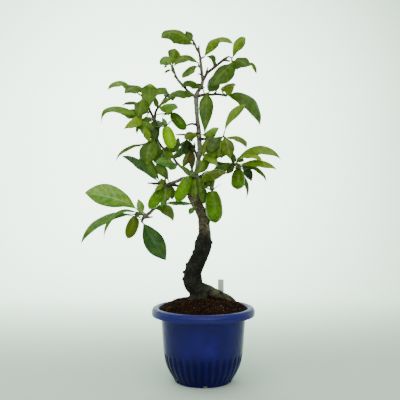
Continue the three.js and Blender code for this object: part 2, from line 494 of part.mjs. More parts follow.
    shoot([-69, -10, 189.4, 1.2], [-71, -10.6, 192.6, 1.1]),
    leaf([-70.8, -10.6, 192.4], [-83.5, -16, 204], [-110, -24, 215.4], [-138.8, -30, 217.4],
      28, [0.1, -0.93, 0.35]),
    leaf([-70.8, -10.4, 192.2], [-94, -6, 192.5], [-120.5, -12, 184.6], [-144.6, -18, 158.5],
      18.5, [-0.3, -0.65, 0.7]),
    leaf([-70.6, -10.6, 191.6], [-83, -14, 197.4], [-102.5, -17, 190.4], [-117, -22, 167.5],
      13, [-0.4, -0.45, 0.8]),
    leaf([-70.8, -10.4, 192.4], [-71.4, -8, 198], [-74, -6, 204], [-76.6, -4, 210.4], 8, [-0.2, -0.95, 0.1]),
    leaf([-70.4, -10.2, 191.8], [-70, -3, 194], [-73, 11, 196], [-78, 23, 190], 17, [0, 0.35, 0.93]),
  ],
  leaf_low_olive: () => [
    leaf([-57, -9.4, 198], [-54.5, -13, 201], [-43.5, -17, 197.6], [-34.4, -20, 185], 15, [0.4, -0.78, 0.48]),
  ],
  leaf_low_hanging: () => [
    leaf([-72, -10.4, 184], [-69, -14, 180.5], [-60, -19, 162], [-44, -22, 139], 23, [0.1, -0.97, 0.1]),
  ],
};

// Fruits hang from a four-lobed calyx. top and tip are the two ends of the fruit, widest is how
// far down from the top it is fullest. Each sepal is [turn about the fruit, spread from its axis,
// length], and stalk runs from the calyx to the wood.

const FRUITS = {
  fruit_upper_left: {
    top: [-43, -15, 293.5], tip: [-36, -17, 270], width: 13.5, widest: 0.55, color: 0x78aa14,
    sepals: [[0, 55, 11], [80, 22, 12], [180, 70, 11], [265, 25, 11]],
    stalk: [[-49, -11, 300], [-56.4, -7, 302.5]],
  },
  fruit_upper_dark: {
    top: [-38, -2, 308.5], tip: [-21, -3, 291.5], width: 12, widest: 0.5, color: 0x2f5a12,
    sepals: [[20, 50, 10], [110, 30, 10], [200, 60, 10], [290, 40, 9]],
    stalk: [[-46, -4, 310], [-55, -5.4, 308.6]],
  },
  fruit_low_bright: {
    top: [-19.5, -17, 229], tip: [-30, -19, 208.8], width: 13, widest: 0.6, color: 0x6ea016,
    sepals: [[10, 50, 11], [75, 30, 11], [170, 55, 10], [260, 20, 11]],
    stalk: [[-18.4, -14, 232.5], [-18, -8, 234.4]],
  },
  fruit_large: {
    top: [11, -15, 218.5], tip: [13.8, -17, 183.4], width: 19, widest: 0.66, color: 0x508c14,
    sepals: [[0, 35, 11], [85, 8, 14], [180, 45, 13], [268, 30, 10]],
    stalk: [[4, -11, 223], [-3, -6, 224.6], [-8.4, -2, 223.4]],
  },
  fruit_right_dark: {
    top: [41, 5, 245.5], tip: [39.5, 4, 222.8], width: 13, widest: 0.55, color: 0x3f7410,
    sepals: [[15, 82, 9], [95, 88, 7], [185, 72, 9], [270, 78, 9]],
    stalk: [[38, 10, 248.4], [32.6, 16.6, 249.4]],
  },
  fruit_low_olive: {
    top: [-78.5, -25, 188.5], tip: [-88, -28, 164.6], width: 12.5, widest: 0.55, color: 0x707c1c,
    sepals: [[10, 66, 8], [95, 70, 7], [178, 103, 14], [275, 50, 9]],
    stalk: [[-75.6, -20, 189.6], [-71.6, -10.4, 184.9]],
  },
  fruit_low_left: {
    top: [-48, -25, 220.5], tip: [-62, -27, 201], width: 13.5, widest: 0.5, color: 0x5c8820,
    sepals: [[30, 60, 10], [95, 85, 8], [185, 100, 9], [280, 60, 9]],
    stalk: [[-46, -22, 223.6], [-44.4, -17, 225.6]],
  },
};

// Shares of the way down and of the widest radius, above and below the fullest place
const FRUIT_TOP = [[0, 0.36], [0.35, 0.74], [0.7, 0.95]];
const FRUIT_BOTTOM = [[0, 1], [0.4, 0.9], [0.72, 0.6], [0.93, 0.24], [1, 0.06]];
const FRUIT_SIDES = 8;
const CALYX = { radius: 2.6, height: 1.8, footR: 1.6, footRise: 0.7, sepalHalf: 2.1, sepalThick: 0.7,
  widest: 0.4, curl: 1.6, stalkR: 0.8 };

function fruitAxes({ top, tip }) {
  const [start, end] = [at(top), at(tip)];
  const down = end.clone().sub(start);
  const length = down.length();
  down.normalize();
  const right = new THREE.Vector3(1, 0, 0).projectOnPlane(down).normalize();
  const front = new THREE.Vector3().crossVectors(down, right);
  return { start, down, length, right, front };
}

function fruitBody(fruit) {
  const { start, down, length, right, front } = fruitAxes(fruit);
  const rows = [
    ...FRUIT_TOP.map(([share, radius]) => [share * fruit.widest, radius]),
    ...FRUIT_BOTTOM.map(([share, radius]) => [fruit.widest + share * (1 - fruit.widest), radius]),
  ];
  const rings = rows.map(([t, share]) => {
    const centre = start.clone().addScaledVector(down, t * length);
    const radius = (share * fruit.width) / 2;
    return Array.from({ length: FRUIT_SIDES }, (_, k) => {
      const turn = (2 * Math.PI * k) / FRUIT_SIDES;
      return centre.clone()
        .addScaledVector(right, radius * Math.cos(turn))
        .addScaledVector(front, radius * Math.sin(turn));
    });
  });
  return loft(rings, fanCap(FRUIT_SIDES));
}

// Four pointed sepals round a raised middle, in one star-shaped body, with the stalk joined on.
// The outline runs notch, near side, tip, far side for each sepal in turn.
function calyxBody(fruit) {
  const { start, down, length, right, front } = fruitAxes(fruit);
  const up = down.clone().negate();
  const seat = start.clone().addScaledVector(up, GAP);
  const outward = (degrees) => {
    const turn = THREE.MathUtils.degToRad(degrees);
    return right.clone().multiplyScalar(Math.cos(turn)).addScaledVector(front, -Math.sin(turn));
  };
  const under = [seat];
  const over = [seat.clone().addScaledVector(up, CALYX.height)];
  for (const [turn, spreadDegrees, reach] of fruit.sepals) {
    const spread = THREE.MathUtils.degToRad(spreadDegrees);
    const out = outward(turn);
    const across = outward(turn + 90);
    const way = up.clone().multiplyScalar(Math.cos(spread)).addScaledVector(out, Math.sin(spread));
    const inward = up.clone().multiplyScalar(Math.sin(spread)).addScaledVector(out, -Math.cos(spread));
    const notch = seat.clone().addScaledVector(outward(turn - 45), CALYX.radius);
    const foot = seat.clone().addScaledVector(out, CALYX.footR).addScaledVector(up, CALYX.footRise);
    const middle = foot.clone().addScaledVector(way, reach * CALYX.widest);
    const tip = foot.clone().addScaledVector(way, reach).addScaledVector(out, CALYX.curl);
    const near = middle.clone().addScaledVector(across, -CALYX.sepalHalf);
    const far = middle.clone().addScaledVector(across, CALYX.sepalHalf);
    under.push(notch, near, tip, far);
    over.push(notch.clone().addScaledVector(up, CALYX.sepalThick));
    for (const point of [near, tip, far]) over.push(point.clone().addScaledVector(inward, CALYX.sepalThick));
  }
  const count = under.length;
  const rim = count - 1;
  const faces = [];
  const addBoth = (i, j, k) => faces.push(count + i, count + j, count + k, k, j, i);
  for (let i = 1; i < count; i += 4) {
    const next = (i + 3) % rim + 1;
    addBoth(0, i, i + 1);
    addBoth(0, i + 1, i + 3);
    addBoth(i + 1, i + 2, i + 3);
    addBoth(0, i + 3, next);
  }
  for (let i = 1; i < count; i++) {
    const next = (i % rim) + 1;
    faces.push(i, next, count + next, i, count + next, count + i);
  }
  const geometry = new THREE.BufferGeometry().setFromPoints([...under, ...over]);
  geometry.setIndex(faces);
  const rise = (GAP + CALYX.height / 2) / length;
  const stalkTop = fruit.top.map((value, i) => value + (value - fruit.tip[i]) * rise);
  const path = [stalkTop, ...fruit.stalk].map((place) => [...place, CALYX.stalkR]);
  return toSolid(geometry).add(limb(path, { sides: 4, rings: path.length - 1 }));
}

// Solid of revolution about the pot's axis, from a half section of [radius, height]
function lathe(profile, sides) {
  const points = profile.map(([r, z]) => new THREE.Vector2(r, z));
  return new THREE.LatheGeometry(points, sides).rotateX(Math.PI / 2);
}

// Soil: a low dome with a lumpy surface, filling the pot to its floor

function soilTop(radius) {
  const share = Math.max(0, 1 - (radius / POT.mouthR) ** 2);
  return SOIL.edgeZ + SOIL.crown * share ** SOIL.power;
}

function soilBody() {
  const clear = 2 * GAP;
  const outer = POT.mouthR - clear;
  const straightSide = [POT_CAVITY[0], ...POT_CAVITY.slice(2)];
  const side = straightSide.map(([r, z]) => [r - clear, z + GAP]);
  const top = SOIL.rows.map((share) => [share * outer, soilTop(share * outer)]);
  const geometry = lathe([[0, POT.floorTop + GAP], ...side, ...top, [0, soilTop(0)]], POT.sides);
  geometry.deleteAttribute('normal');
  geometry.deleteAttribute('uv');
  const mound = mergeVertices(geometry, MERGE);
  const random = seededRandom(SOIL.seed);
  const places = mound.attributes.position;
  for (let i = 0; i < places.count; i++) {
    const lift = (2 * random() - 1) * SOIL.lump;
    if (places.getZ(i) > SOIL.edgeZ + SOIL.lump) places.setZ(i, places.getZ(i) + lift);
  }
  return toSolid(mound);
}

// Pot: a moulded shell with a rolled rim, a fluted foot and drain slots. A pad under the middle of
// the floor and the foot ring stand on the surface.

function flutedBody() {
  const profile = [[0, 0, 0], ...POT_SIDE, [POT.shoulderR, POT.shoulderZ, 0], [0, POT.shoulderZ, 0]];
  const geometry = lathe(profile, 2 * POT.flutes);
  const places = geometry.attributes.position;
  for (let i = 0; i < places.count; i++) {
    const column = Math.floor(i / profile.length);
    const depth = profile[i % profile.length][2] * POT.fluteDepth * (column % 2);
    const radius = Math.hypot(places.getX(i), places.getY(i));
    const scale = depth > 0 ? (radius - depth) / radius : 1;
    places.setXY(i, places.getX(i) * scale, places.getY(i) * scale);
  }
  return toSolid(geometry);
}

function potBody() {
  const collar = lathe([[0, POT.collarZ], [POT.collarR, POT.collarZ], ...POT_RIM], POT.sides);
  const above = POT.rimTop + POT.over;
  const cavity = lathe([[0, POT.floorTop], ...POT_CAVITY, [POT.mouthR, above], [0, above]], POT.sides);
  const footInner = POT.footR - POT.footThick;
  const recess = lathe([
    [POT.padR, -POT.over], [footInner, -POT.over], [footInner, POT.floorBottom],
    [POT.padR + POT.over, POT.floorBottom], [POT.padR, -POT.over],
  ], POT.sides);
  const shell = flutedBody().add(toSolid(collar)).subtract(toSolid(cavity)).subtract(toSolid(recess));
  return largest(slotCutters().reduce((pot, cutter) => pot.subtract(cutter), shell));
}

// Drain slots run out from under the floor and notch the foot ring
function slotCutters() {
  const bar = (start, end, top) => {
    const box = new THREE.BoxGeometry(end - start, SLOTS.width, top + POT.over);
    return box.translate((start + end) / 2, 0, (top - POT.over) / 2);
  };
  const cutters = [];
  for (let i = 0; i < SLOTS.count; i++) {
    const turn = THREE.MathUtils.degToRad(SLOTS.firstTurn + (360 * i) / SLOTS.count);
    const throughFloor = bar(SLOTS.from, SLOTS.floorEnd, POT.floorTop + POT.over);
    const notch = bar(SLOTS.floorEnd - POT.over, SLOTS.out, SLOTS.height);
    cutters.push(toSolid(throughFloor.rotateZ(turn)), toSolid(notch.rotateZ(turn)));
  }
  return cutters;
}

// Plant label: a flat blank tag with clipped corners, narrowing to its lower end
function labelOutline(grow) {
  const { width, clip, point, bottom, top } = LABEL;
  const [side, low, high] = [width / 2 + grow, bottom - grow, top + grow];
  const outline = new THREE.Shape();
  outline.moveTo(-side + clip, low);
  outline.lineTo(side - clip, low);
  outline.lineTo(side, low + point);
  outline.lineTo(side, high - clip);
  outline.lineTo(side - clip, high);
  outline.lineTo(-side + clip, high);
  outline.lineTo(-side, high - clip);
  outline.lineTo(-side, low + point);
  outline.closePath();
  return outline;
}

function labelBody(grow = 0) {
  const depth = LABEL.thick + 2 * grow;
  const geometry = new THREE.ExtrudeGeometry(labelOutline(grow), { depth, bevelEnabled: false, steps: 1 });
  geometry.translate(0, 0, -depth / 2).rotateX(Math.PI / 2).rotateZ(THREE.MathUtils.degToRad(LABEL.turn));
  return toSolid(geometry.translate(LABEL.x, LABEL.y, 0));
}

// The finished group

const bonsai = new THREE.Group();

function addPiece(name, solid, color, roughness) {
  const material = new THREE.MeshStandardMaterial({ color, roughness, metalness: 0 });
  const mesh = new THREE.Mesh(toGeometry(solid), material);
  mesh.name = name;
  bonsai.add(mesh);
}

const clearance = wood(GAP);
const label = labelBody();

addPiece('pot', potBody(), 0x20266e, 0.25);
addPiece('soil', soilBody().subtract(buriedWood()).subtract(labelBody(GAP)), 0x2c1b12, 0.95);
addPiece('trunk_and_branches', wood(), 0x3a332c, 0.85);
addPiece('plant_label', label.subtract(clearance), 0xd8dcd6, 0.5);

for (const [name, pieces] of Object.entries(SPRAYS)) {
  addPiece(name, largest(joined(pieces()).subtract(clearance)), 0x4f8422, 0.55);
}

for (const [name, fruit] of Object.entries(FRUITS)) {
  addPiece(name, fruitBody(fruit), fruit.color, 0.4);
  addPiece(name.replace('fruit', 'calyx'), largest(calyxBody(fruit).subtract(clearance)), 0x5a7a2a, 0.6);
}

export default bonsai;
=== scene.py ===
# %% [markdown]
# # A princess persimmon bonsai in a blue pot
#
# *Diospyros rhombifolia* is a small persimmon that is grown as a bonsai for its oval fruit. This one
# has an old curved trunk, a thin pale leader, leafy shoots, hanging green fruit, crumbly soil, a blank
# plant label and a fluted pot of moulded plastic.
#
# The frame that is loaded here gives the places of all the solids. Every piece below is made where its
# solid is, hides it, and rides on the same body. Sizes are given in millimetres, and Blender counts in
# metres, so MM turns one into the other.

# %% Load the fixed frame
import math

import bmesh
import bpy
import numpy as np
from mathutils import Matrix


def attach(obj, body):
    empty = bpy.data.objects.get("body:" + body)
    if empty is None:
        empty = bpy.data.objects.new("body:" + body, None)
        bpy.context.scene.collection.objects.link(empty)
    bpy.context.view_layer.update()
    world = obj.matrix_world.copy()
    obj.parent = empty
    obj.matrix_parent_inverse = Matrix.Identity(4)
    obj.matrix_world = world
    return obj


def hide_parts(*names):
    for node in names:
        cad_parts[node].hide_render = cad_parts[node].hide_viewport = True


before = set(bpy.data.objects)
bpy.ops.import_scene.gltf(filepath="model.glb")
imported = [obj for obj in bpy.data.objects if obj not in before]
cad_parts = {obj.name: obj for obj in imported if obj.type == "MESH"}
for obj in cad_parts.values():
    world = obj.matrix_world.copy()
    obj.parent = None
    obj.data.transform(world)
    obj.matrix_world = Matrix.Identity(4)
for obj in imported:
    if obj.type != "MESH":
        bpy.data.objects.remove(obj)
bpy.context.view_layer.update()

MM = 0.001
print("solids in the frame:", len(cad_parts))

# %% [markdown]
# ## Where things are
#
# The tree was measured from straight in front, so a place [x, y, z] gives x and z as they look from the
# eye, in the trunk's plane, and y as the depth behind that plane. `at` moves such a place to where it
# truly is. The camera stands at the eye, looking level along +Y, so that its picture is the front view.
# A lens of 55.8 mm on a sensor of 36 mm takes in the whole tree from there.
#
# Places are kept in tables of plain text: a row for each leaf, fruit or limb, groups of numbers between
# commas, and words for what a row is.

# %% Places, tables, and the camera at the eye
EYE = np.array([-3.8, -722, 209.3])
LENS, SENSOR = 55.8, 36
ORIGIN = np.zeros(3)
X, Y, Z = np.eye(3)


def at(place):
    """True position, in metres, of a place as it looks from the eye"""
    x, y, z = place[:3]
    scale = (y - EYE[1]) / -EYE[1]
    return np.array([EYE[0] + (x - EYE[0]) * scale, y, EYE[2] + (z - EYE[2]) * scale]) * MM


def table(text):
    """A list of rows, each a list of groups of numbers and words. Rows that start with # are remarks."""
    return [[[float(word) if word[-1].isdigit() else word for word in group.split()]
             for group in row.split(",")]
            for row in text.strip().splitlines() if row[0] != "#"]


def new_object(name, data):
    """An object in the scene that holds this mesh, light or camera"""
    made = bpy.data.objects.new(name, data)
    bpy.context.collection.objects.link(made)
    return made


lens = bpy.data.cameras.new("front_view")
lens.lens, lens.sensor_width = LENS, SENSOR
camera = new_object("front_view", lens)
camera.location = EYE * MM
camera.rotation_euler = (math.radians(90), 0, 0)
bpy.context.scene.camera = camera
print("camera stands", round(-EYE[1]), "mm in front of the trunk")

# %% [markdown]
# ## Skins over rings
#
# Stems, leaves, sepals and fruit all have the same build: a stack of rings of points, and a skin over
# them that is closed at both ends. So one function makes the skin, and each piece only has to say where
# its rings are. The rings run anticlockwise about the way they travel, and then all faces look outward.
#
# A ring's point may carry more numbers after x, y and z, such as how far along the leaf it is. They
# become attributes of the mesh, which its material reads. That is how a vein follows a bent leaf.

# %% Skins, and meshes made of them
def skin(rings):
    """Points and faces of a closed skin over a stack of rings"""
    rows, size = rings.shape[:2]
    points = np.vstack([rings.reshape(rows * size, -1), rings[0].mean(0), rings[-1].mean(0)])
    here = np.arange(size)
    after = (here + 1) % size
    row = np.arange(rows - 1)[:, None] * size
    sides = np.stack([row + here, row + after, row + size + after, row + size + here], -1)
    top = (rows - 1) * size
    first = np.stack([after, here, np.full(size, rows * size)], -1)
    last = np.stack([top + here, top + after, np.full(size, rows * size + 1)], -1)
    return points, sides.reshape(-1, 4).tolist() + first.tolist() + last.tolist()


def new_mesh(name, points, edges, faces, reads=None):
    """An object of these points, edges and faces. reads gives attributes of the points by name."""
    mesh = bpy.data.meshes.new(name)
    mesh.from_pydata(np.array(points).tolist(), edges, faces)
    for read, values in (reads or {}).items():
        mesh.attributes.new(read, "FLOAT", "POINT").data.foreach_set("value", values.astype(np.float32))
    return new_object(name, mesh)


def put_together(name, surfaces, finishes, reads):
    """One object out of (rings, number of the finish). reads names the numbers after x, y and z."""
    points, faces, finish = [], [], []
    for rings, number in surfaces:
        new_points, new_faces = skin(rings)
        start = sum(map(len, points))
        points.append(new_points)
        faces += [[start + corner for corner in face] for face in new_faces]
        finish += [number] * len(new_faces)
    points = np.vstack(points)
    made = new_mesh(name, points[:, :3], [], faces, dict(zip(reads, points[:, 3:].T)))
    for material in finishes:
        made.data.materials.append(material)
    made.data.polygons.foreach_set("material_index", finish)
    made.data.shade_smooth()
    return made


def keep(made, node):
    """The piece takes its node's place, rides on the tree's one body, and is counted"""
    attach(made, "root")
    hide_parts(node)
    count = sum(len(face.vertices) - 2 for face in made.data.polygons)
    print(f"{made.name}: {count} triangles")


print("a skin over 3 rings of 4 points has", len(skin(np.zeros((3, 4, 3)))[1]), "faces")

# %% [markdown]
# A stem follows its stations, [x, y, z, radius], in one smooth line. Each station is reached exactly,
# and the slope there is the mean of the slopes on both sides, each weighted by the other's length. The
# result is an array of rows [x, y, z, radius], close enough together for the rings of a tube.

# %% Smooth paths and round tubes
def unit(vectors):
    return vectors / np.linalg.norm(vectors, axis=-1, keepdims=True)


def smooth_path(rows, step):
    """Rows of numbers about every step along a smooth line through the given rows"""
    length = np.linalg.norm(np.diff(rows[:, :3], axis=0), axis=1)
    reach = np.r_[0, np.cumsum(length)]
    slope = np.diff(rows, axis=0) / length[:, None]
    near, far = length[:-1, None], length[1:, None]
    tangent = np.vstack([slope[:1], (slope[:-1] * far + slope[1:] * near) / (near + far), slope[-1:]])
    place = np.linspace(0, reach[-1], max(2, round(reach[-1] / step)) + 1)
    k = np.clip(np.searchsorted(reach, place, side="right") - 1, 0, len(length) - 1)
    t = ((place - reach[k]) / length[k])[:, None]
    run = length[k][:, None]
    return ((2 * t**3 - 3 * t**2 + 1) * rows[k] + (t**3 - 2 * t**2 + t) * run * tangent[k]
            + (3 * t**2 - 2 * t**3) * rows[k + 1] + (t**3 - t**2) * run * tangent[k + 1])


def stem_path(stations, step=1.0):
    """The smooth path of a stem given by stations [x, y, z, radius] in millimetres"""
    return smooth_path(np.array([[*at(place), place[3] * MM] for place in stations]), step * MM)


def tube(path, sides, reads=0):
    """Rings round a path of rows [x, y, z, radius]. Each point gets that many attributes of 0."""
    along = unit(np.gradient(path[:, :3], axis=0))
    turn = 2 * math.pi * np.arange(sides) / sides
    side = np.array([0.3, 1, 0.2])
    rings = []
    for row, way in zip(path, along):
        side = unit(side - way * (side @ way))
        up = np.cross(way, side)
        ring = row[:3] + row[3] * (np.cos(turn)[:, None] * side + np.sin(turn)[:, None] * up)
        rings.append(np.hstack([ring, np.zeros((sides, reads))]))
    return np.array(rings)


print("a stem 10 mm long has", len(tube(stem_path([[0, 0, 0, 1], [0, 0, 10, 1]]), 8)), "rings")

# %% [markdown]
# ## Colours and nodes
#
# Colours are picked as sRGB hex values, as in any paint program. Blender's shaders count in linear
# light, so `linear` turns one into the other. `add` is the one helper for nodes, of shaders and of
# geometry alike. It makes the node, sets it up, and for each socket either links it or gives its value.
#
# `Math.ADD` stands for a Math node whose operation is ADD, and a kind without the word Node is one of
# the shader nodes. The sockets of a MapRange are, in order, the value, the range it comes from and the
# range it goes to. A Mix takes its share at socket 0 and its two colours at 6 and 7.

# %% Colours, and one helper that adds a node
def linear(hex_colour):
    """Linear light of an sRGB hex colour, as red, green, blue and full cover"""
    shares = [int(hex_colour[i:i + 2], 16) / 255 for i in (1, 3, 5)]
    light = [share / 12.92 if share <= 0.04045 else ((share + 0.055) / 1.055) ** 2.4 for share in shares]
    return [*light, 1]


def plug(tree, node, inputs):
    """Links the node's sockets or gives them values. inputs is a list in their order, or a dict."""
    for socket, value in inputs.items() if isinstance(inputs, dict) else enumerate(inputs):
        if isinstance(value, bpy.types.NodeSocket):
            tree.links.new(value, node.inputs[socket])
        else:
            is_colour = isinstance(value, str) and value[0] == "#"
            node.inputs[socket].default_value = linear(value) if is_colour else value


def add(tree, kind, inputs=(), stops=(), out=0, **settings):
    """Adds a node with its settings, its sockets' links or values and its ramp's stops, and gives back
    the output that is wanted"""
    kind, _, operation = kind.partition(".")
    node = tree.nodes.new(kind if "Node" in kind else "ShaderNode" + kind)
    if operation:
        node.operation = operation
    for setting, value in settings.items():
        setattr(node, setting, value)
    plug(tree, node, inputs)
    if stops:
        ramp = node.color_ramp.elements
        while len(ramp) < len(stops):
            ramp.new(1)
        for element, (place, colour) in zip(ramp, stops):
            element.position = place
            element.color = linear(colour)
    return node.outputs[out] if node.outputs else node


def new_finish(name, roughness, ior=1.5, reads=()):
    """An empty material, its tree, its shader, the place in the object and the attributes it reads"""
    material = bpy.data.materials.new(name)
    material.use_nodes = True
    tree = material.node_tree
    shader = tree.nodes["Principled BSDF"]
    plug(tree, shader, {"Roughness": roughness, "IOR": ior})
    return (material, tree, shader, add(tree, "TexCoord", out="Object"),
            *[add(tree, "Attribute", attribute_name=read, out="Fac") for read in reads])


def per_metre(size):
    """Scale of a noise whose blobs are this many millimetres across"""
    return 1000 / size


print("sRGB mid grey in linear light:", round(linear("#808080")[0], 3))

# %% [markdown]
# ## Leaves: what they are made of
#
# Living leaves of princess persimmon are thin and leathery. The upper side has a waxy skin, so it is
# satin, with fine sunken veins that are a little paler than the blade. The under side is duller and
# paler, and there the veins stand out. Young leaves are yellow-green, old and shaded ones blue-green,
# and a few by the trunk wither. In soft light the skin shows hardly any sheen, so the IOR is low.
#
# So two numbers say each leaf's colour: light, from dark to bright, and warm, from blue-green to yellow,
# and past 1 on to dry brown. Light is partly the leaf's own tone and partly painted light and shade: a
# leaf that lies in shadow gets a darker green, and a brightly lit one a brighter green. A ramp for each
# kind is read at the leaf's light and mixed by its warmth.
# Blotches 6 and 1.6 mm across move the first a little and patches 11 mm across the second, as on the
# real leaves. Veins show more on bright leaves.
#
# The side veins leave the midrib 6 or 7 mm apart and bend forward to the edge. The attributes along and
# across place them: their number times (along - lean * across to a power) is whole on each vein.

# %% The finish of a living leaf
VEIN = {"pairs": 7, "lean": 0.2, "power": 1.3}
COOL_GREENS = [(0, "#182e16"), (0.35, "#3a682e"), (0.65, "#62923e"), (1, "#98be6c")]
WARM_GREENS = [(0, "#26320a"), (0.35, "#546e14"), (0.65, "#809c18"), (1, "#b6ce3c")]
DRY_BROWNS = [(0, "#2a2410"), (0.35, "#605529"), (0.65, "#8c7e48"), (1, "#b5aa7c")]


def leaf_finish():
    material, tree, shader, spot, along, across, under, light, warm = new_finish(
        "living_persimmon_leaf", 0.42, 1.29, ["along", "across", "under", "light", "warm"])
    blotch, speck, patch = [
        add(tree, "TexNoise", {"Vector": spot, "Scale": per_metre(size), "Detail": detail})
        for size, detail in ((6, 3), (1.6, 2), (11, 2))]

    aside = add(tree, "Math.ABSOLUTE", [across])
    bent = add(tree, "Math.POWER", [aside, VEIN["power"]])
    place = add(tree, "Math.MULTIPLY_ADD", [bent, -VEIN["lean"], along])
    count = add(tree, "Math.MULTIPLY", [place, VEIN["pairs"]])
    off_vein = add(tree, "Math.PINGPONG", [count, 0.5])
    side_vein = add(tree, "MapRange", [off_vein, 0.02, 0.13, 0.7, 0], interpolation_type="SMOOTHSTEP")
    midrib = add(tree, "MapRange", [aside, 0.03, 0.1, 1, 0], interpolation_type="SMOOTHSTEP")
    vein = add(tree, "Math.MAXIMUM", [side_vein, midrib])

    # light holds each leaf's own tone together with its painted light and shade
    brightness = light
    for pattern, most in ((blotch, 0.12), (speck, 0.05)):
        uneven = add(tree, "MapRange", [pattern, 0.3, 0.7, -most, most])
        brightness = add(tree, "Math.ADD", [brightness, uneven])
    clear = add(tree, "Math.MULTIPLY_ADD", [light, 0.25, 0.06])
    brightness = add(tree, "Math.MULTIPLY_ADD", [vein, clear, brightness])
    cool, warmer, dead = [add(tree, "ValToRGB", [brightness], stops=stops)
                          for stops in (COOL_GREENS, WARM_GREENS, DRY_BROWNS)]
    shift = add(tree, "MapRange", [patch, 0.35, 0.65, -0.2, 0.2])
    warmth = add(tree, "Math.ADD", [warm, shift], use_clamp=True)
    withering = add(tree, "Math.ADD", [warm, shift])
    withered = add(tree, "MapRange", [withering, 1.05, 1.9])
    below = add(tree, "Math.MULTIPLY", [under, 0.3])
    edge = add(tree, "MapRange", [aside, 0.86, 1])
    dry = add(tree, "MapRange", [patch, 0.55, 0.7, 0, 0.7])
    brown = add(tree, "Math.MULTIPLY", [edge, dry])
    # Past its yellow a leaf withers, the under side is greyer, and a few edges are dry and brown
    colour = cool
    for share, over in ((warmth, warmer), (withered, dead), (below, "#7f9a66"), (brown, "#6d6a2c")):
        colour = add(tree, "Mix", {0: share, 6: colour, 7: over}, data_type="RGBA", out=2)

    gloss = add(tree, "MapRange", [speck, 0.3, 0.7, 0.36, 0.5])
    dull = add(tree, "Math.MULTIPLY_ADD", [under, 0.22, gloss])
    relief = add(tree, "Math.MULTIPLY_ADD", [vein, -0.6, speck])
    bump = add(tree, "Bump", {"Strength": 0.5, "Distance": 0.15 * MM, "Height": relief})
    plug(tree, shader, {"Base Color": colour, "Roughness": dull, "Normal": bump})
    return material


def shoot_finish():
    """Young green stems and leaf stalks, browner where they turn woody"""
    material, tree, shader, spot = new_finish("green_shoot", 0.55)
    blotch = add(tree, "TexNoise", {"Vector": spot, "Scale": per_metre(2.5), "Detail": 3})
    colour = add(tree, "ValToRGB", [blotch], stops=[(0.3, "#46391f"), (0.5, "#5f6b2b"), (0.7, "#86984a")])
    bump = add(tree, "Bump", {"Strength": 0.4, "Distance": 0.15 * MM, "Height": blotch})
    plug(tree, shader, {"Base Color": colour, "Normal": bump})
    return material


LEAF = leaf_finish()
SHOOT = shoot_finish()
print("finishes:", LEAF.name, SHOOT.name)
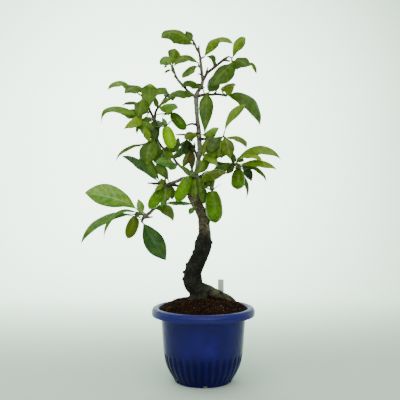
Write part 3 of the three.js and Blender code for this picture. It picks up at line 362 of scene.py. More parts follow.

# %% [markdown]
# ## Leaves: where each one grows
#
# A row that begins with a node's name gives the stations of its shoot, where it has one. The rows under
# it are its leaves: the green, the places of the stalk's foot, the blade's base, the middle of the
# midrib and the tip, the blade's width, the way its upper side looks, and then what is unusual about
# it: how far it curls or droops, and how far along it is widest. They were placed one by one from the
# photograph. Each green is a pair of light and warm.

# %% Shoots and leaves
# The greens dark and shade are painted shade for leaves that lie in shadow, and every green's light is
# partly painted light and shade.
GREENS = {
    "dark": (0.06, 0.5), "blue": (0.2, 0.2), "deep": (0.28, 0.7), "mid": (0.36, 0.75),
    "soft": (0.53, 0.45), "fresh": (0.5, 0.75), "olive": (0.42, 0.95), "yellow": (0.55, 0.95),
    "bright": (0.6, 0.95), "pale": (0.7, 0.35), "dull": (0.33, 1.1), "dry": (0.26, 1.7),
    "grey": (0.45, 0.28), "shade": (0.17, 0.75), "faded": (0.5, 1.2),
}
SPRAYS = {}
for (name,), *groups in table("""
leaves_apex, -11.4 2 392.5 1.3, -12.6 1 396.5 1
mid, -12 1.6 394.5, -10.8 1 387, -31 -6 403.8, -49 -14 399, 22, 0.1 -0.88 0.46, widest 0.55
deep, -12.5 1.2 396, -13.2 3 393.5, -16.5 5 400, -20.5 8 406.8, 10.5, -0.3 -0.8 0.5, widest 0.6
leaf_crown
fresh, 0 -3 375.5, 2.4 -5 377.4, 16.6 -13 397.6, 35.4 -20 392.4, 19, 0.2 -0.66 0.74, widest 0.55
leaf_right_spur
deep, 12.4 6 363.6, 11.4 4.5 367.6, 9.6 2 375.6, 3.5 0 376.5, 7.5, -0.5 -0.7 0.5
leaves_left_leader, -3.2 -1 362.5 1.1, -5.4 -4 366 1.1, -6.4 -5 370 0.9
mid, -6.1 -5 369, -7 -6 369.6, -20 -14 377.6, -34.5 -23 366, 18, 0 -0.6 0.8
mid, -4.6 -3.4 364, -7 -6 365.6, -16.2 -12 363.2, -25 -17 352, 15.5, -0.5 -0.75 0.4, widest 0.58
leaves_far_left_twig, -35 -11 357 1, -36.6 -12.5 361.5 1, -37.4 -12 368 0.9
mid, -36.5 -12.4 361.5, -35.4 -12.4 364, -34.8 -10 376, -32.4 -6 386.4, 15, 0.1 -0.95 0.2, widest 0.84
soft, -37.4 -12 366.5, -38.6 -12.5 367, -44 -14 371.6, -50.4 -16 366.8, 15, -0.2 -0.92 0.3
dark, -36 -12 359.5, -37 -12.5 360, -41 -14 361.2, -45.4 -15 357, 6, 0 -0.5 0.86
leaf_fork_dark
deep, -3.6 1.4 340, -4.2 -2 340.4, -15 -8 348, -26 -12 340.4, 16.5, 0 -0.7 0.7
leaf_over_twig
deep, -10.5 0 330.3, -12.5 -4 331, -25 -13 336.4, -40 -20 329.5, 20, 0 -0.68 0.73
leaves_right_leader, 29.5 6.5 376.2 1.1, 32.5 7.5 375 1.1, 33.4 9 371 1
fresh, 31.5 7 375.6, 35.2 5 374, 38.6 0 388.5, 48.8 -4 398.8, 15, -0.4 -0.85 0.2, widest 0.68
deep, 33 8.5 372, 36 3 370.4, 24 -6 359.4, 9.6 -11 342.5, 23, -0.2 -0.95 0.25
deep, 33.4 9 371.5, 33 6 369.6, 42 -1 371.4, 51 -8 365, 20, 0 -0.92 0.4, widest 0.55
mid, 33.4 9.2 371.2, 46 13 365, 57.6 17 369, 62.6 19 356.6, 9, 0.3 -0.5 0.8, widest 0.6
leaves_upper_right, 25 14.5 331 1, 29 13.4 331.6 1
faded, 26.8 14 331.4, 19.5 10 335.6, 28 4 341, 37.4 -2 340.4, 18, -0.3 -0.9 0.4, curl -0.15
deep, 28.6 13.4 331.6, 30 13 330.6, 53 7 326, 67.4 1 297, 24, 0.4 -0.8 0.45, widest 0.42
deep, 28.4 13.6 331.4, 32 18 331, 45 28 331, 56 38 320, 17, 0.4 0.4 0.8
leaves_centre_right, 3 7.6 333 1, 6.4 6 334.6 1
deep, 4 7 333.6, 4.4 3 332.6, 3.4 -6 316, 1.6 -10 286, 17, 0.05 -1 0.1, widest 0.36
deep, 6.2 6.2 334.4, 7 6 336, 10.6 5 346, 14.4 3 358, 17, -0.3 -0.9 0.2
leaves_middle_right, 20.5 -13.5 282.4 1, 24.4 -14.6 283 1.1
fresh, 23.2 -14.4 283, 26 -12.4 293, 36.4 -9 307.8, 50.4 -5 320.6, 11, 0.7 -0.5 0.3, widest 0.62
dull, 24.2 -14.6 283, 27.5 -16 281.4, 42 -21 282.6, 51 -26 270.6, 13, 0 -0.45 0.9
dull, 23.8 -14.6 282.6, 25 -18 282.5, 29 -25 271.5, 31.6 -28 256.4, 17.5, 0.15 -0.98 0.1, widest 0.4
shade, 22 -14 282.4, 20.5 -12 279.6, 12 -6 270, 2 -2 257, 22, -0.2 -0.88 0.4
shade, 21.4 -14 282.4, 18.6 -17 281, 10.4 -22 273, 6.6 -24 261.5, 15, -0.1 -0.95 0.3, widest 0.42
dull, 21 -14 282.4, 9 -15 281.4, 3 -18 273, -2.4 -19 259.5, 10, -0.2 -0.93 0.3
dull, 21.4 -14 282.2, 19 -18 276, 20 -22 267, 16 -23 257, 9, 0.2 -0.95 0.2
fresh, 20.5 -14 282, 19 -15 267, 10 -14 264.4, -1.5 -12 257, 11, 0 -0.75 0.66
leaf_middle_stem
soft, -3.6 0 285, 0.5 -4 285.6, 9.5 -8 290.4, 18.4 -11 294, 15, -0.2 -0.8 0.5
leaves_right_hub, 34.5 16 250.5 1.3, 38.4 14.4 252 1.3, 39.6 14 256.5 1
fresh, 39.4 14 256, 41.6 12 260.4, 67 4 272.4, 91.6 -6 258, 22, 0.1 -0.52 0.86
yellow, 39 14 254, 41 12 257, 56 2 262.6, 69.5 -6 254.8, 14, 0 -0.42 0.9
deep, 38.2 15 252, 41.4 17 251.6, 41.4 19 244, 38.6 20 236, 8, 0.2 -0.95 0.1
shade, 37.6 15.4 251, 36 14.4 249.5, 31.5 13 245.4, 27.6 12 239.6, 8, -0.1 -0.9 0.3
olive, 38.8 14.4 253, 40 14 253.6, 43.6 13 256, 47.4 12 254, 7, 0 -0.95 0.2
shade, 36 15.2 251.4, 22 9 251.6, 11 6 253.6, 1 3 252, 5, 0 -0.9 0.3
shade, 38.2 14.6 252, 36.4 13 250.4, 35 12 257, 34.8 12 264.5, 7, -0.2 -0.95 0.2
bright, 38.6 14.6 252.4, 44.6 13.4 249.8, 63.6 8 256, 86.6 1 246.2, 16, 0.05 -0.42 0.9
mid, 38 15 251.5, 47 20 248.5, 63.6 17 246, 74.6 13 230.6, 13, 0.3 -0.4 0.85
dark, 37.8 15.4 251, 49.5 25 246.5, 53.4 28 240, 56.6 30 230.5, 11.5, 0.2 -0.95 0.1
deep, 37.2 15.6 250.8, 44.5 20 239, 52.2 22 227.4, 51 22 211.5, 9, 0.7 -0.6 0.1
deep, 36 15.2 251.4, 31 12.5 253, 22 8 249.6, 12 4 246, 13.5, 0 -0.8 0.6
leaf_low_yellow
dull, -7.6 -2.4 231, -4.5 -8 229.5, 8 -14 241.4, 29 -18 242, 17, 0 -0.75 0.66, droop 34
mid, -7.6 -2.4 231, -8.6 -6 235.6, -18 -9 243, -28.4 -10 251, 7.5, -0.3 -0.7 0.6
fresh, -7.6 -2.4 231, -8 -8 235, -8.6 -12 224.5, -9.2 -14 212.8, 8.5, 0.1 -0.95 0.1, widest 0.42
mid, -7.6 -2.4 231, -9 -8 235, -13.5 -11 227, -16.8 -12 217.6, 8, -0.2 -0.95 0.1, widest 0.5
deep, -7.6 -2.4 231, -5.4 -8 231, -0.8 -11 221, 1 -11 204.6, 11, 0.2 -0.9 0.3, widest 0.6
deep, -7.6 -2.4 231, -7 -8 236.5, -3.6 -13 227, -2.4 -14 215.5, 9.5, 0.1 -0.95 0.2
mid, -7.6 -2.4 231, -10 -9 231, -13 -13 222, -11.6 -14 212.4, 8.5, -0.2 -0.95 0.2
leaf_bright_inner
bright, -4 -0.6 264, 3 -8 263.4, 11.5 -17 257.5, 16 -20 248, 14, 0.3 -0.85 0.4
mid, -4 -0.6 264, 3.5 -6 258, -0.5 -9 249, -8 -11 239.5, 13, 0.2 -0.92 0.2
leaves_trunk_left, -9 -1.5 202.5 1.3, -11.5 -5 203 1.1
grey, -11 -4.4 203, -13 -7 205.4, -30 -10 207.8, -46 -9 205.6, 11.5, 0 -0.42 0.9
grey, -10.8 -4.2 202.6, -12.3 -6.6 200, -14.2 -7.6 197, -16.4 -8.4 192, 7, -0.1 -0.95 0.2
leaves_upper_left_tip, -70 -12 327 1.1, -72.4 -13.4 331.5 1
soft, -72.2 -13.2 331, -84 -14 338.6, -97 -18 347.4, -112.4 -22 339, 17, 0 -0.55 0.83, curl 0.08
mid, -72.2 -13.4 331.2, -69 -17 335, -80 -22 340.8, -92 -27 334, 17, 0 -0.75 0.66
mid, -70.6 -12.6 328.4, -70.6 -18 328, -73.4 -22 318.5, -76 -24 305.5, 18, -0.2 -0.95 0.2
deep, -71 -12.4 329, -66 0 329, -62 14 331, -58 27 325, 17, 0.2 0.3 0.9
leaf_curled_bright
yellow, -61.4 -9 312.6, -63.4 -15 320, -62 -26 341.6, -61 -42 343, 19.5, 0 0.55 0.83, widest 0.56
leaves_inner_fork, -41.4 0.6 332 1, -41 -1.6 334.6 0.9
mid, -41.2 -1 334, -40.4 -3 333, -47 -8 338.6, -56 -12 331, 14.5, 0 -0.75 0.65
mid, -41 -0.8 333.6, -40.5 5 333, -38 16 331.5, -35 26 325, 15, 0.2 0.3 0.9
leaf_fork_green
soft, -51 -4 318.6, -52 -8 316, -41 -13 320.4, -29 -17 317, 19, 0 -0.8 0.6
deep, -51 -4 318.6, -51.6 -6 317, -54.4 -8 323, -55.4 -9 330, 6.5, 0.3 -0.9 0.1
mid, -51 -4 318.6, -50 -6 319.6, -43 -9 326.4, -33 -10 329, 6.5, 0 -0.8 0.6
leaves_left_fork, -61.5 -8.6 311.4 1.1, -65 -9.4 312.4 1.1
soft, -64.6 -9.4 312.4, -73.5 -13 306.8, -102 -20 318, -125 -26 306, 15, 0 -0.55 0.83, curl 0.24
olive, -64.2 -9.4 312.2, -69 -8 309, -83 0 314, -97 8 310, 18, 0 -0.75 0.65
yellow, -63.8 -9.4 311.8, -76 -18 308, -83.5 -22 302, -93 -27 292.5, 18, -0.4 -0.75 0.5
deep, -63.4 -9.4 311.6, -67 -12 304, -75.5 -15 297, -77.6 -16 285.6, 9, -0.5 -0.8 0.1
mid, -64.8 -9 313, -73 -2 321, -84.5 2 324.2, -95.6 4 320, 14, 0 -0.02 1
leaves_left_branch, -54.6 -3.6 283 1.3, -57.6 -8 282.6 1.2
olive, -57.2 -7.6 282.6, -60 -10 279.5, -65.5 -15 290, -75.5 -19 302, 17, -0.5 -0.8 0.3, widest 0.46
dark, -57.2 -7.6 283, -56 -11 303, -55.4 -14 292.5, -54 -16 277, 12, 0.4 -0.9 0.1
shade, -57 -8 282, -55.5 -10 279, -54 -16 268, -56.5 -22 253, 16, 0.3 -0.93 0.1
deep, -57.4 -8 282, -59 -9 263, -68 -13 258, -79 -17 248, 16, 0 -0.8 0.5
yellow, -57.4 -8 282.6, -61 -18 279, -66.5 -21 286, -69 -21 296, 9, -0.4 -0.85 0.2
dull, -56.8 -7 282.4, -70 -6 272.6, -86 -9 271.4, -104 -13 256.6, 7, 0 -0.6 0.8, curl 0.12
deep, -57.2 -8 282.2, -57.8 -13 280.6, -64.5 -24 266.5, -66 -31 249.5, 21.5, -0.1 -0.97 0.1, widest 0.5, \
droop 26
leaf_blue_green
grey, -28 3.4 250.2, -31.5 -6 250, -43 -20 255, -57 -28 252.5, 18, 0 -0.92 0.38
leaves_low_left_hub, -48.4 -17.6 227.4 1.3, -49.6 -21.4 229.4 1.3
blue, -49.4 -21 229.2, -54.8 -23 232, -71 -28 253.2, -95 -32 262.4, 14, 0.4 -0.55 0.7, widest 0.55
deep, -49.4 -21 229.4, -51.5 -22 232.4, -58 -25 245, -66 -28 258, 12.5, 0.4 -0.8 0.4, widest 0.66
dull, -49 -20.6 228.6, -47.5 -23 227, -43 -27 218, -40 -29 208.5, 13, 0.3 -0.9 0.3
grey, -49 -20.6 228.6, -45 -25 223, -44.6 -29 212, -49.6 -29 200, 9, 0.3 -0.9 0.2
shade, -48.6 -18.6 227.4, -43.4 -15 226, -37.4 -14 219.6, -36.4 -13 209, 10, 0.2 -0.95 0.1
dull, -48.6 -18.6 227.6, -46.6 -20 226.5, -47.4 -21 230, -49.4 -21 235, 5.5, 0.2 -0.9 0.2
olive, -49.2 -20.6 229, -49.4 -27 228.5, -52.5 -34 226, -57 -40 219, 9, -0.2 -0.5 0.85
leaf_low_left
deep, -39.6 -15 229.4, -40.4 -18 232.6, -45 -22 243.5, -53.5 -24 255.5, 15, 0.4 -0.85 0.35, widest 0.62
leaf_olive_stem
dull, -5.6 -1 283, -7 -4 284, -14 -8 286, -22.5 -11 281, 15, 0 -0.88 0.45, droop 36
leaves_back_centre, -13.6 30 273.6 1.1, -16.4 36.5 277.6 1
dark, -14.8 33 275.6, -15.4 28 262, -19.4 24 269.5, -19.6 22 281, 13, -0.2 -0.95 0.2
dull, -14.8 33 275.6, -14 26 267, -20 22 258, -24 20 246.4, 11, -0.3 -0.9 0.2
dry, -14.8 33 275.6, -13 24 265, -12.6 20 255, -13.6 18 243, 10, 0.3 -0.9 0.2
dark, -14.8 33 275.6, -16 26 262, -11.5 22 268, -9.6 20 278, 4.5, 0.3 -0.9 0.2
deep, -16.2 36 277.4, -17 42 278.6, -20 54 277, -23 64 268, 19.5, 0 0.35 0.93
deep, -16 35.6 276.6, -21 36 273, -28 40 268, -36 44 257, 18.5, -0.3 0.3 0.9
leaves_back_right, 14 33 270 1.1, 18 39 272 1
deep, 17.6 38.4 271.8, 19 44 272, 21 56 268, 21 64 258, 19.5, 0.1 0.4 0.9
dark, 17.6 38.4 272, 15 40 276, 10 46 282, 6 54 284, 17, -0.3 0.3 0.9
leaves_back_top, -9.6 21 343.4 1, -12 27 343.4 0.9
deep, -11.6 26 343.4, -12 30 343.6, -13 42 345.6, -15 52 341, 16, 0 0.3 0.95
mid, -11.8 26.4 343.4, -8.5 29 342.6, -4 38 343.6, 0 46 340, 15, 0.3 0.3 0.9
leaves_back_left_branch, -45.6 -0.4 269.4 1.2, -47 4 268 1.1
deep, -46.8 3.6 268, -50 7 267.6, -56 20 266, -62 32 257, 18.5, -0.3 0.3 0.9
mid, -46.8 3.6 268, -46 9 266.6, -43 22 264, -41 33 255, 17, 0.2 0.35 0.9
dull, -46.8 1 268.6, -46 -4 270, -40.6 -8 271, -35 -9 266.6, 6.5, 0 -0.8 0.6
olive, -46.8 1 268.6, -45 -4 268, -39.6 -8 264, -33.6 -9 259, 7.5, -0.3 -0.85 0.4
deep, -46.8 1 268.6, -48 -4 267, -50.6 -8 263, -47.6 -9 257.6, 7, -0.3 -0.9 0.2
shade, -46.8 1 268.6, -38 -4 266, -31.6 -6 272, -29 -7 283, 8.5, 0.2 -0.95 0.1
leaves_back_left_fork, -56.8 -5.4 300.6 1.2, -58.6 -1 302 1.1
mid, -58.4 -1.4 302, -61 4 303.6, -65 16 306, -69 29 299, 18.5, -0.2 0.3 0.9
deep, -58.2 -1.6 301.8, -56 5 301, -53 18 301, -50 30 293, 16, 0.2 0.3 0.9
leaves_back_low_right, 12.6 13.4 242.4 1.2, 12.4 17.6 243.4 1.1
deep, 12.4 17.2 243.2, 13 23 243.6, 14.5 35 243, 15 46 234.5, 17, 0.1 0.35 0.93
mid, 12.4 17 243.2, 8 20 243, 2 30 242, -3 40 233, 16, -0.3 0.35 0.9
mid, 12.4 17 243.2, 9 13 239, 5 10 231, 1 9 223, 15, -0.1 -0.95 0.2
leaves_low_end, -69 -10 189.4 1.2, -71 -10.6 192.6 1.1
pale, -70.8 -10.6 192.4, -82.5 -16 203.6, -110 -24 213, -138 -30 217.4, 25.6, 0.1 -0.98 -0.15, droop 33, \
widest 0.58
grey, -70.8 -10.4 192.2, -94 -6 193.4, -123 -12 184.4, -144.4 -18 159, 14, -0.3 -0.7 0.65, widest 0.48
grey, -70.6 -10.6 191.6, -81.5 -14 197.6, -104 -17 192.6, -117.5 -22 166.5, 10, -0.4 -0.45 0.8
pale, -70.8 -10.4 192.4, -71.6 -8 194, -74 -6 201.6, -76 -4 211, 9.5, -0.2 -0.95 0.1
deep, -70.4 -10.2 191.8, -70 -3 194, -73 11 196, -78 23 190, 17, 0 0.35 0.93
leaf_low_olive
dull, -57 -9.4 198, -55.4 -13 200, -42 -17 200.6, -34.6 -20 184.6, 17, 0.4 -0.7 0.6, widest 0.46
leaf_low_hanging
blue, -72 -10.4 184, -68.4 -14 181, -58.4 -19 162.6, -43.4 -22 139, 23, 0.1 -0.97 0.1
"""):
    if name in GREENS:
        leaves.append((GREENS[name], *groups))
    else:
        leaves = []
        SPRAYS[name] = (groups, leaves)
print(len(SPRAYS), "sprays,", sum(len(leaves) for shoot, leaves in SPRAYS.values()), "leaves")

# %% [markdown]
# ## Leaves: how one is made
#
# A leaf blade is widest just before its middle and narrows to a wedge at the base and a drawn-out tip.
# `(t ** widest * (1 - t) ** (1 - widest)) ** POINTED` gives that outline. The midrib is a curve through
# three places, which eases into the stalk at the base and curls down at the tip. At each step along it
# stands a ring: across the upper side, round the edge and back along the under side.
#
# What makes it a leaf and not a paper cut-out is the small relief: the two halves droop from the midrib,
# the edge waves, the blade swells between the side veins, and the midrib is a groove above and a
# ridge below. The stalk is a tube that runs on into the midrib.

# %% The rings of one leaf
random = np.random.default_rng(7)
LEAF_ROWS = 44
HALF_COLUMNS = [1, 0.9, 0.74, 0.56, 0.38, 0.2, 0.07]
COLUMNS = np.array([*HALF_COLUMNS, 0, *[-share for share in reversed(HALF_COLUMNS)]])
DROOP, WIDEST = (16, 38), (0.42, 0.52)  # degrees and shares of the length, drawn between these
POINTED = 2.05
CURL, CURL_FROM = 0.05, 0.75  # shares of the length
LEAST_HALF = (0.6, 0.12)  # half width that is left at the base and at the tip
THICK, THINNER = 0.17, 0.08  # half thickness at the midrib, and how much less it is at the edge
WEDGE = 0.4  # share of the stalk that the blade runs down
STALK_RADIUS = (1, 0.64)  # at its foot and at the blade
WAVES, SWELL, WAVE, TWIST = 2.3, 0.012, 0.035, 0.02  # the last three are shares of the width
MIDRIB = {"half": 0.07, "groove": 0.2, "ridge": 0.3}


def through(a, b, c, t):
    """Points on a smooth curve from a to c that passes through b half way"""
    pull = 2 * b - (a + c) / 2
    return (1 - t) ** 2 * a + 2 * t * (1 - t) * pull + t**2 * c


def ring_frame(line, face):
    """Directions along a line of points, upward from a blade that looks to face, and to its right"""
    along = unit(np.gradient(line, axis=0))
    normal = unit(face - along * (along @ face)[:, None])
    return normal, np.cross(normal, along)


def blade_points(line, normal, right, aside, height):
    """Places of a blade, aside millimetres from its line and at this height over it"""
    return line[:, None] + right[:, None] * aside[..., None] * MM + normal[:, None] * height[..., None] * MM


def leaf_blade(root, base, middle, tip, width, face, light, warm, curl=CURL, droop=None, widest=None):
    """Rings of a blade, each point with along, across, under, light and warm"""
    usual_droop, usual_widest = random.uniform(*DROOP), random.uniform(*WIDEST)
    droop = math.radians(droop or usual_droop)
    widest = widest or usual_widest
    t = np.linspace(0, 1, LEAF_ROWS)
    bend = through(base, middle, tip, t[:, None])
    line = smooth_path(np.vstack([base + (root - base) * WEDGE, bend[LEAF_ROWS // 5::3], tip]), 0.5 * MM)
    midrib = np.stack([np.interp(t, np.linspace(0, 1, len(line)), axis) for axis in line.T], -1)
    t = t[:, None]
    normal = ring_frame(midrib, face)[0]
    # The tip curls towards the under side
    far = np.maximum((t - CURL_FROM) / (1 - CURL_FROM), 0)
    midrib = midrib - normal * curl * np.linalg.norm(tip - base) * far**2
    normal, right = ring_frame(midrib, face)
    outline = (t**widest * (1 - t) ** (1 - widest)) ** POINTED
    half = np.maximum(width / 2 * outline / outline.max(), np.where(t < 0.5, *LEAST_HALF))

    swell_phase, wave_phase, other_phase = random.random(3)
    sides = []
    for columns, under in ((COLUMNS, 0), (COLUMNS[-2:0:-1], 1)):
        aside = np.abs(columns)
        veins = VEIN["pairs"] * (t - VEIN["lean"] * aside ** VEIN["power"])
        swell = SWELL * width * (np.abs(np.sin(math.pi * veins)) - 0.5) * (1 - aside**2)
        phase = np.where(columns > 0, wave_phase, other_phase)
        wave = WAVE * width * np.sin(2 * math.pi * (WAVES * t + phase)) * aside**3
        twist = TWIST * width * np.sin(2 * math.pi * (0.5 * t + swell_phase)) * columns
        near_midrib = np.exp(-((aside / MIDRIB["half"]) ** 2))
        thick = THICK - THINNER * aside
        lift = -thick - MIDRIB["ridge"] * near_midrib if under else thick - MIDRIB["groove"] * near_midrib
        lift = lift * (aside < 1)
        height = (-aside**1.5 * half * math.tan(droop)
                  + np.sin(math.pi * t) * (swell + wave + twist) + lift)
        place = blade_points(midrib, normal, right, columns * half, height)
        reads = [np.broadcast_to(value, place.shape[:2])[..., None]
                 for value in (t, columns, under, light, warm)]
        sides.append(np.concatenate([place, *reads], -1))
    return np.concatenate(sides, 1)


def leaf_stalk(root, base):
    """The stalk's rings, from its foot to just inside the blade"""
    t = np.linspace(0, 1 - WEDGE + 0.1, 7)[:, None]
    radius = np.linspace(*STALK_RADIUS, len(t))[:, None] * MM
    return tube(np.hstack([root + (base - root) * t, radius]), 8, 5)


print("one blade has", LEAF_ROWS, "rings of", 2 * len(COLUMNS) - 2, "points")

# %% [markdown]
# Each spray of leaves is one object, because it is one solid in the frame. Shoots are drawn a little
# thinner than their solids, which were made stout enough to be checked.

# %% Grow the sprays
SHOOT_SHARE = 0.8
for node, (shoot, leaves) in SPRAYS.items():
    surfaces = []
    if shoot:
        path = stem_path(shoot)
        path[:, 3] *= SHOOT_SHARE
        surfaces.append((tube(path, 10, 5), 1))
    for green, root, base, middle, tip, (width,), face, *own in leaves:
        places = [at(place) for place in (root, base, middle, tip)]
        surfaces.append((leaf_stalk(*places[:2]), 1))
        surfaces.append((leaf_blade(*places, width, np.array(face), *green, **dict(own)), 0))
    spray = put_together(node + "_grown", surfaces, [LEAF, SHOOT],
                         ["along", "across", "under", "light", "warm"])
    keep(spray, node)

# %% [markdown]
# ## Fruit
#
# The unripe fruit is a berry with a smooth waxy skin, oval to egg-shaped, that ends in the dry dark
# remnant of its style. A closed form says its outline: above the fullest place the radius grows as
# `1 - 0.5 * (1 - s) ** 3.2`, and below it falls as `(1 - s ** 2.2) ** 0.6`. Four very shallow lobes
# stand under the four sepals.
#
# The skin is a saturated yellow-green, brighter where the fruit is fullest and darker at the shoulder.
# It has fine paler flecks about 0.8 mm across, and a soft shine like wax. Seen from afar the flecks are
# too fine to show, so a softer mottle 4 mm across is laid over them. Wax has an IOR of 1.44, but it is
# set lower here, because the pale studio would whiten the skin. Where warm is more than 1 the skin is
# bruised brown in places, as on the fruit at the end of the low branch.

# %% The finish of fruit skin
def fruit_finish():
    material, tree, shader, spot, down, light, warm = new_finish(
        "unripe_persimmon_skin", 0.34, 1.27, ["down", "light", "warm"])
    mottle, fleck = [
        add(tree, "TexNoise", {"Vector": spot, "Scale": per_metre(size), "Detail": detail})
        for size, detail in ((4, 3), (0.8, 1))]
    brightness = light
    for ranges in ([mottle, 0.3, 0.7, -0.1, 0.1], [fleck, 0.6, 0.7, 0, 0.06], [down, 0, 0.6, -0.14, 0.04]):
        brightness = add(tree, "Math.ADD", [brightness, add(tree, "MapRange", ranges)])
    cool, warmer = [add(tree, "ValToRGB", [brightness], stops=stops) for stops in (
        [(0, "#183408"), (0.4, "#376806"), (0.7, "#5a9608"), (1, "#8ec614")],
        [(0, "#2e360a"), (0.4, "#5e7606"), (0.7, "#82b204"), (1, "#aede08")])]
    bruised = add(tree, "MapRange", [warm, 1, 1.5])
    bruise = add(tree, "MapRange", [mottle, 0.5, 0.62])
    scar = add(tree, "Math.MULTIPLY", [bruised, bruise])
    style = add(tree, "MapRange", [down, 0.985, 1])
    colour = cool
    for share, over in ((warm, warmer), (scar, "#4a3a12"), (style, "#2a2114")):
        colour = add(tree, "Mix", {0: share, 6: colour, 7: over}, data_type="RGBA", out=2)
    wax = add(tree, "MapRange", [mottle, 0.3, 0.7, 0.18, 0.3])
    bump = add(tree, "Bump", {"Strength": 0.1, "Distance": 0.1 * MM, "Height": fleck})
    plug(tree, shader, {"Base Color": colour, "Roughness": wax, "Normal": bump})
    return material


def calyx_finish():
    """Sepals: thin, dull, grey-green and browned towards their tips"""
    material, tree, shader, spot, down, light = new_finish("dry_green_sepal", 0.62, reads=["down", "light"])
    blotch = add(tree, "TexNoise", {"Vector": spot, "Scale": per_metre(2.2), "Detail": 3})
    green = add(tree, "ValToRGB", [blotch], stops=[(0.3, "#2f4420"), (0.5, "#556f33"), (0.7, "#83975a")])
    browning = add(tree, "Math.MULTIPLY", [down, blotch])
    share = add(tree, "MapRange", [browning, 0.34, 0.58])
    dry = add(tree, "Mix", {0: share, 6: green, 7: "#5a4a2a"}, data_type="RGBA", out=2)
    shade = add(tree, "MapRange", [light, 0, 1, 0.55, 1.3])
    colour = add(tree, "Mix", {0: 1, 6: dry, 7: shade}, data_type="RGBA", blend_type="MULTIPLY", out=2)
    bump = add(tree, "Bump", {"Strength": 0.5, "Distance": 0.15 * MM, "Height": blotch})
    plug(tree, shader, {"Base Color": colour, "Normal": bump})
    return material


FRUIT_SKIN = fruit_finish()
SEPAL = calyx_finish()
print("finishes:", FRUIT_SKIN.name, SEPAL.name)

# %% [markdown]
# Each row gives the places of the fruit's top and tip, then its width, how far down it is fullest, its
# light and its warmth. Four sepals follow, each by its turn about the fruit and its spread from the
# axis, in degrees, and its length. Last come the stalk's places on the way to the wood.

# %% Where the fruits hang
FRUITS = {}
for (name,), top, tip, (width, widest, *green), *groups in table("""
upper_left, -43.5 -15 294, -36 -17 269.6, 14.2 0.6 0.76 0.8, 0 55 11, 80 22 12, 180 70 11, 265 25 11, \
-49 -11 300, -56.4 -7 302.5
upper_dark, -36.5 -2 309.5, -20.5 -3 291.4, 12.6 0.55 0.36 0.4, 20 50 10, 110 30 10, 200 60 10, 290 40 9, \
-46 -4 310, -55 -5.4 308.6
low_bright, -16 -17 236, -31 -19 207.4, 14.2 0.6 0.54 0.5, 10 50 11, 75 30 11, 170 55 10, 260 20 11, \
-14.6 -14 238.5, -15 -8 236.4
large, 10.4 -15 219.5, 14.2 -17 182.6, 19.4 0.6 0.42 0.45, 0 50 10, 340 14 14, 180 50 12, 90 25 12, \
4 -11 223, -3 -6 224.6, -8.4 -2 223.4
right_dark, 41 5 244.5, 39.8 4 221.6, 16 0.66 0.4 0.5, 15 82 9, 95 88 7, 185 72 9, 270 78 9, 38 10 248.4, \
32.6 16.6 249.4
low_olive, -78.5 -25 189, -88 -28 164.6, 13.5 0.5 0.3 1.25, 10 66 8, 95 70 7, 178 103 14, 275 50 9, \
-75.6 -20 189.6, -71.6 -10.4 184.9
low_left, -48 -25 221.5, -63 -27 199, 13 0.5 0.5 0.45, 30 60 10, 95 85 8, 185 100 9, 280 60 9, \
-46 -22 223.6, -44.4 -17 225.6
"""):
    FRUITS[name] = {"top": top, "tip": tip, "width": width, "widest": widest, "green": green,
                    "sepals": groups[:4], "stalk": groups[4:]}
print(len(FRUITS), "fruits")

# %% [markdown]
# A sepal is a small pointed blade, so its rings are made as a leaf's are, with a fixed outline and no
# veins. The four stand on a low cup, from which the stalk goes back to the wood. Cup, sepals and stalk
# are one object, as they are one solid in the frame.

# %% The rings of a fruit
FRUIT_ROWS = 36
FRUIT_SIDES = 36
FRUIT_LOBES = 0.012
STYLE = {"radius": 0.35, "length": 0.9}


def fruit_frame(fruit):
    """Where the fruit starts, its unit directions down, right and front, and its length"""
    start, end = at(fruit["top"]), at(fruit["tip"])
    length = np.linalg.norm(end - start)
    down = (end - start) / length
    right = unit(X - down * down[0])
    return start, down, right, np.cross(down, right), length


def revolved(start, axis, right, front, rows, sides, lobes=0):
    """Rings round an axis. Each row is [distance along it, radius, ...]."""
    turn = 2 * math.pi * np.arange(sides) / sides
    ripple = 1 + lobes * np.cos(4 * turn)
    rings = []
    for far, radius, *reads in rows:
        out = radius * ripple[:, None] * (np.cos(turn)[:, None] * right + np.sin(turn)[:, None] * front)
        rings.append(np.hstack([start + far * axis + out, np.tile(reads, (sides, 1))]))
    return np.array(rings)


def fruit_rings(fruit):
    start, down, right, front, length = fruit_frame(fruit)
    widest, radius = fruit["widest"], fruit["width"] / 2 * MM
    t = (1 - np.cos(math.pi * np.linspace(0, 1, FRUIT_ROWS))) / 2
    above = 1 - 0.5 * (1 - np.minimum(t / widest, 1)) ** 3.2
    below = (1 - np.maximum((t - widest) / (1 - widest), 0) ** 2.2) ** 0.6
    rows = [[far * length, max(share * radius, STYLE["radius"] * MM), 0.97 * far, *fruit["green"]]
            for far, share in zip(t, np.where(t < widest, above, below))]
    rows[0][1] *= 0.6
    rows.append([length + STYLE["length"] * MM, STYLE["radius"] * 0.6 * MM, 1, *fruit["green"]])
    return revolved(start, down, right, front, rows, FRUIT_SIDES, FRUIT_LOBES)


print("one fruit has", len(fruit_rings(FRUITS["large"])), "rings of", FRUIT_SIDES, "points")

# %% The surfaces of a calyx
CUP = {"radius": 2.6, "height": 1.7, "lift": 0.15, "sink": 0.6}
STALK = {"radius": 0.65, "start": 0.04}  # it starts that share of the fruit's length above the top
SEPAL_FORM = {"foot": 1.4, "rise": 0.5, "half": 2.7, "least": 0.12, "thick": 0.22, "curl": 1.6,
              "hollow": 0.6, "rows": 15, "columns": 9}


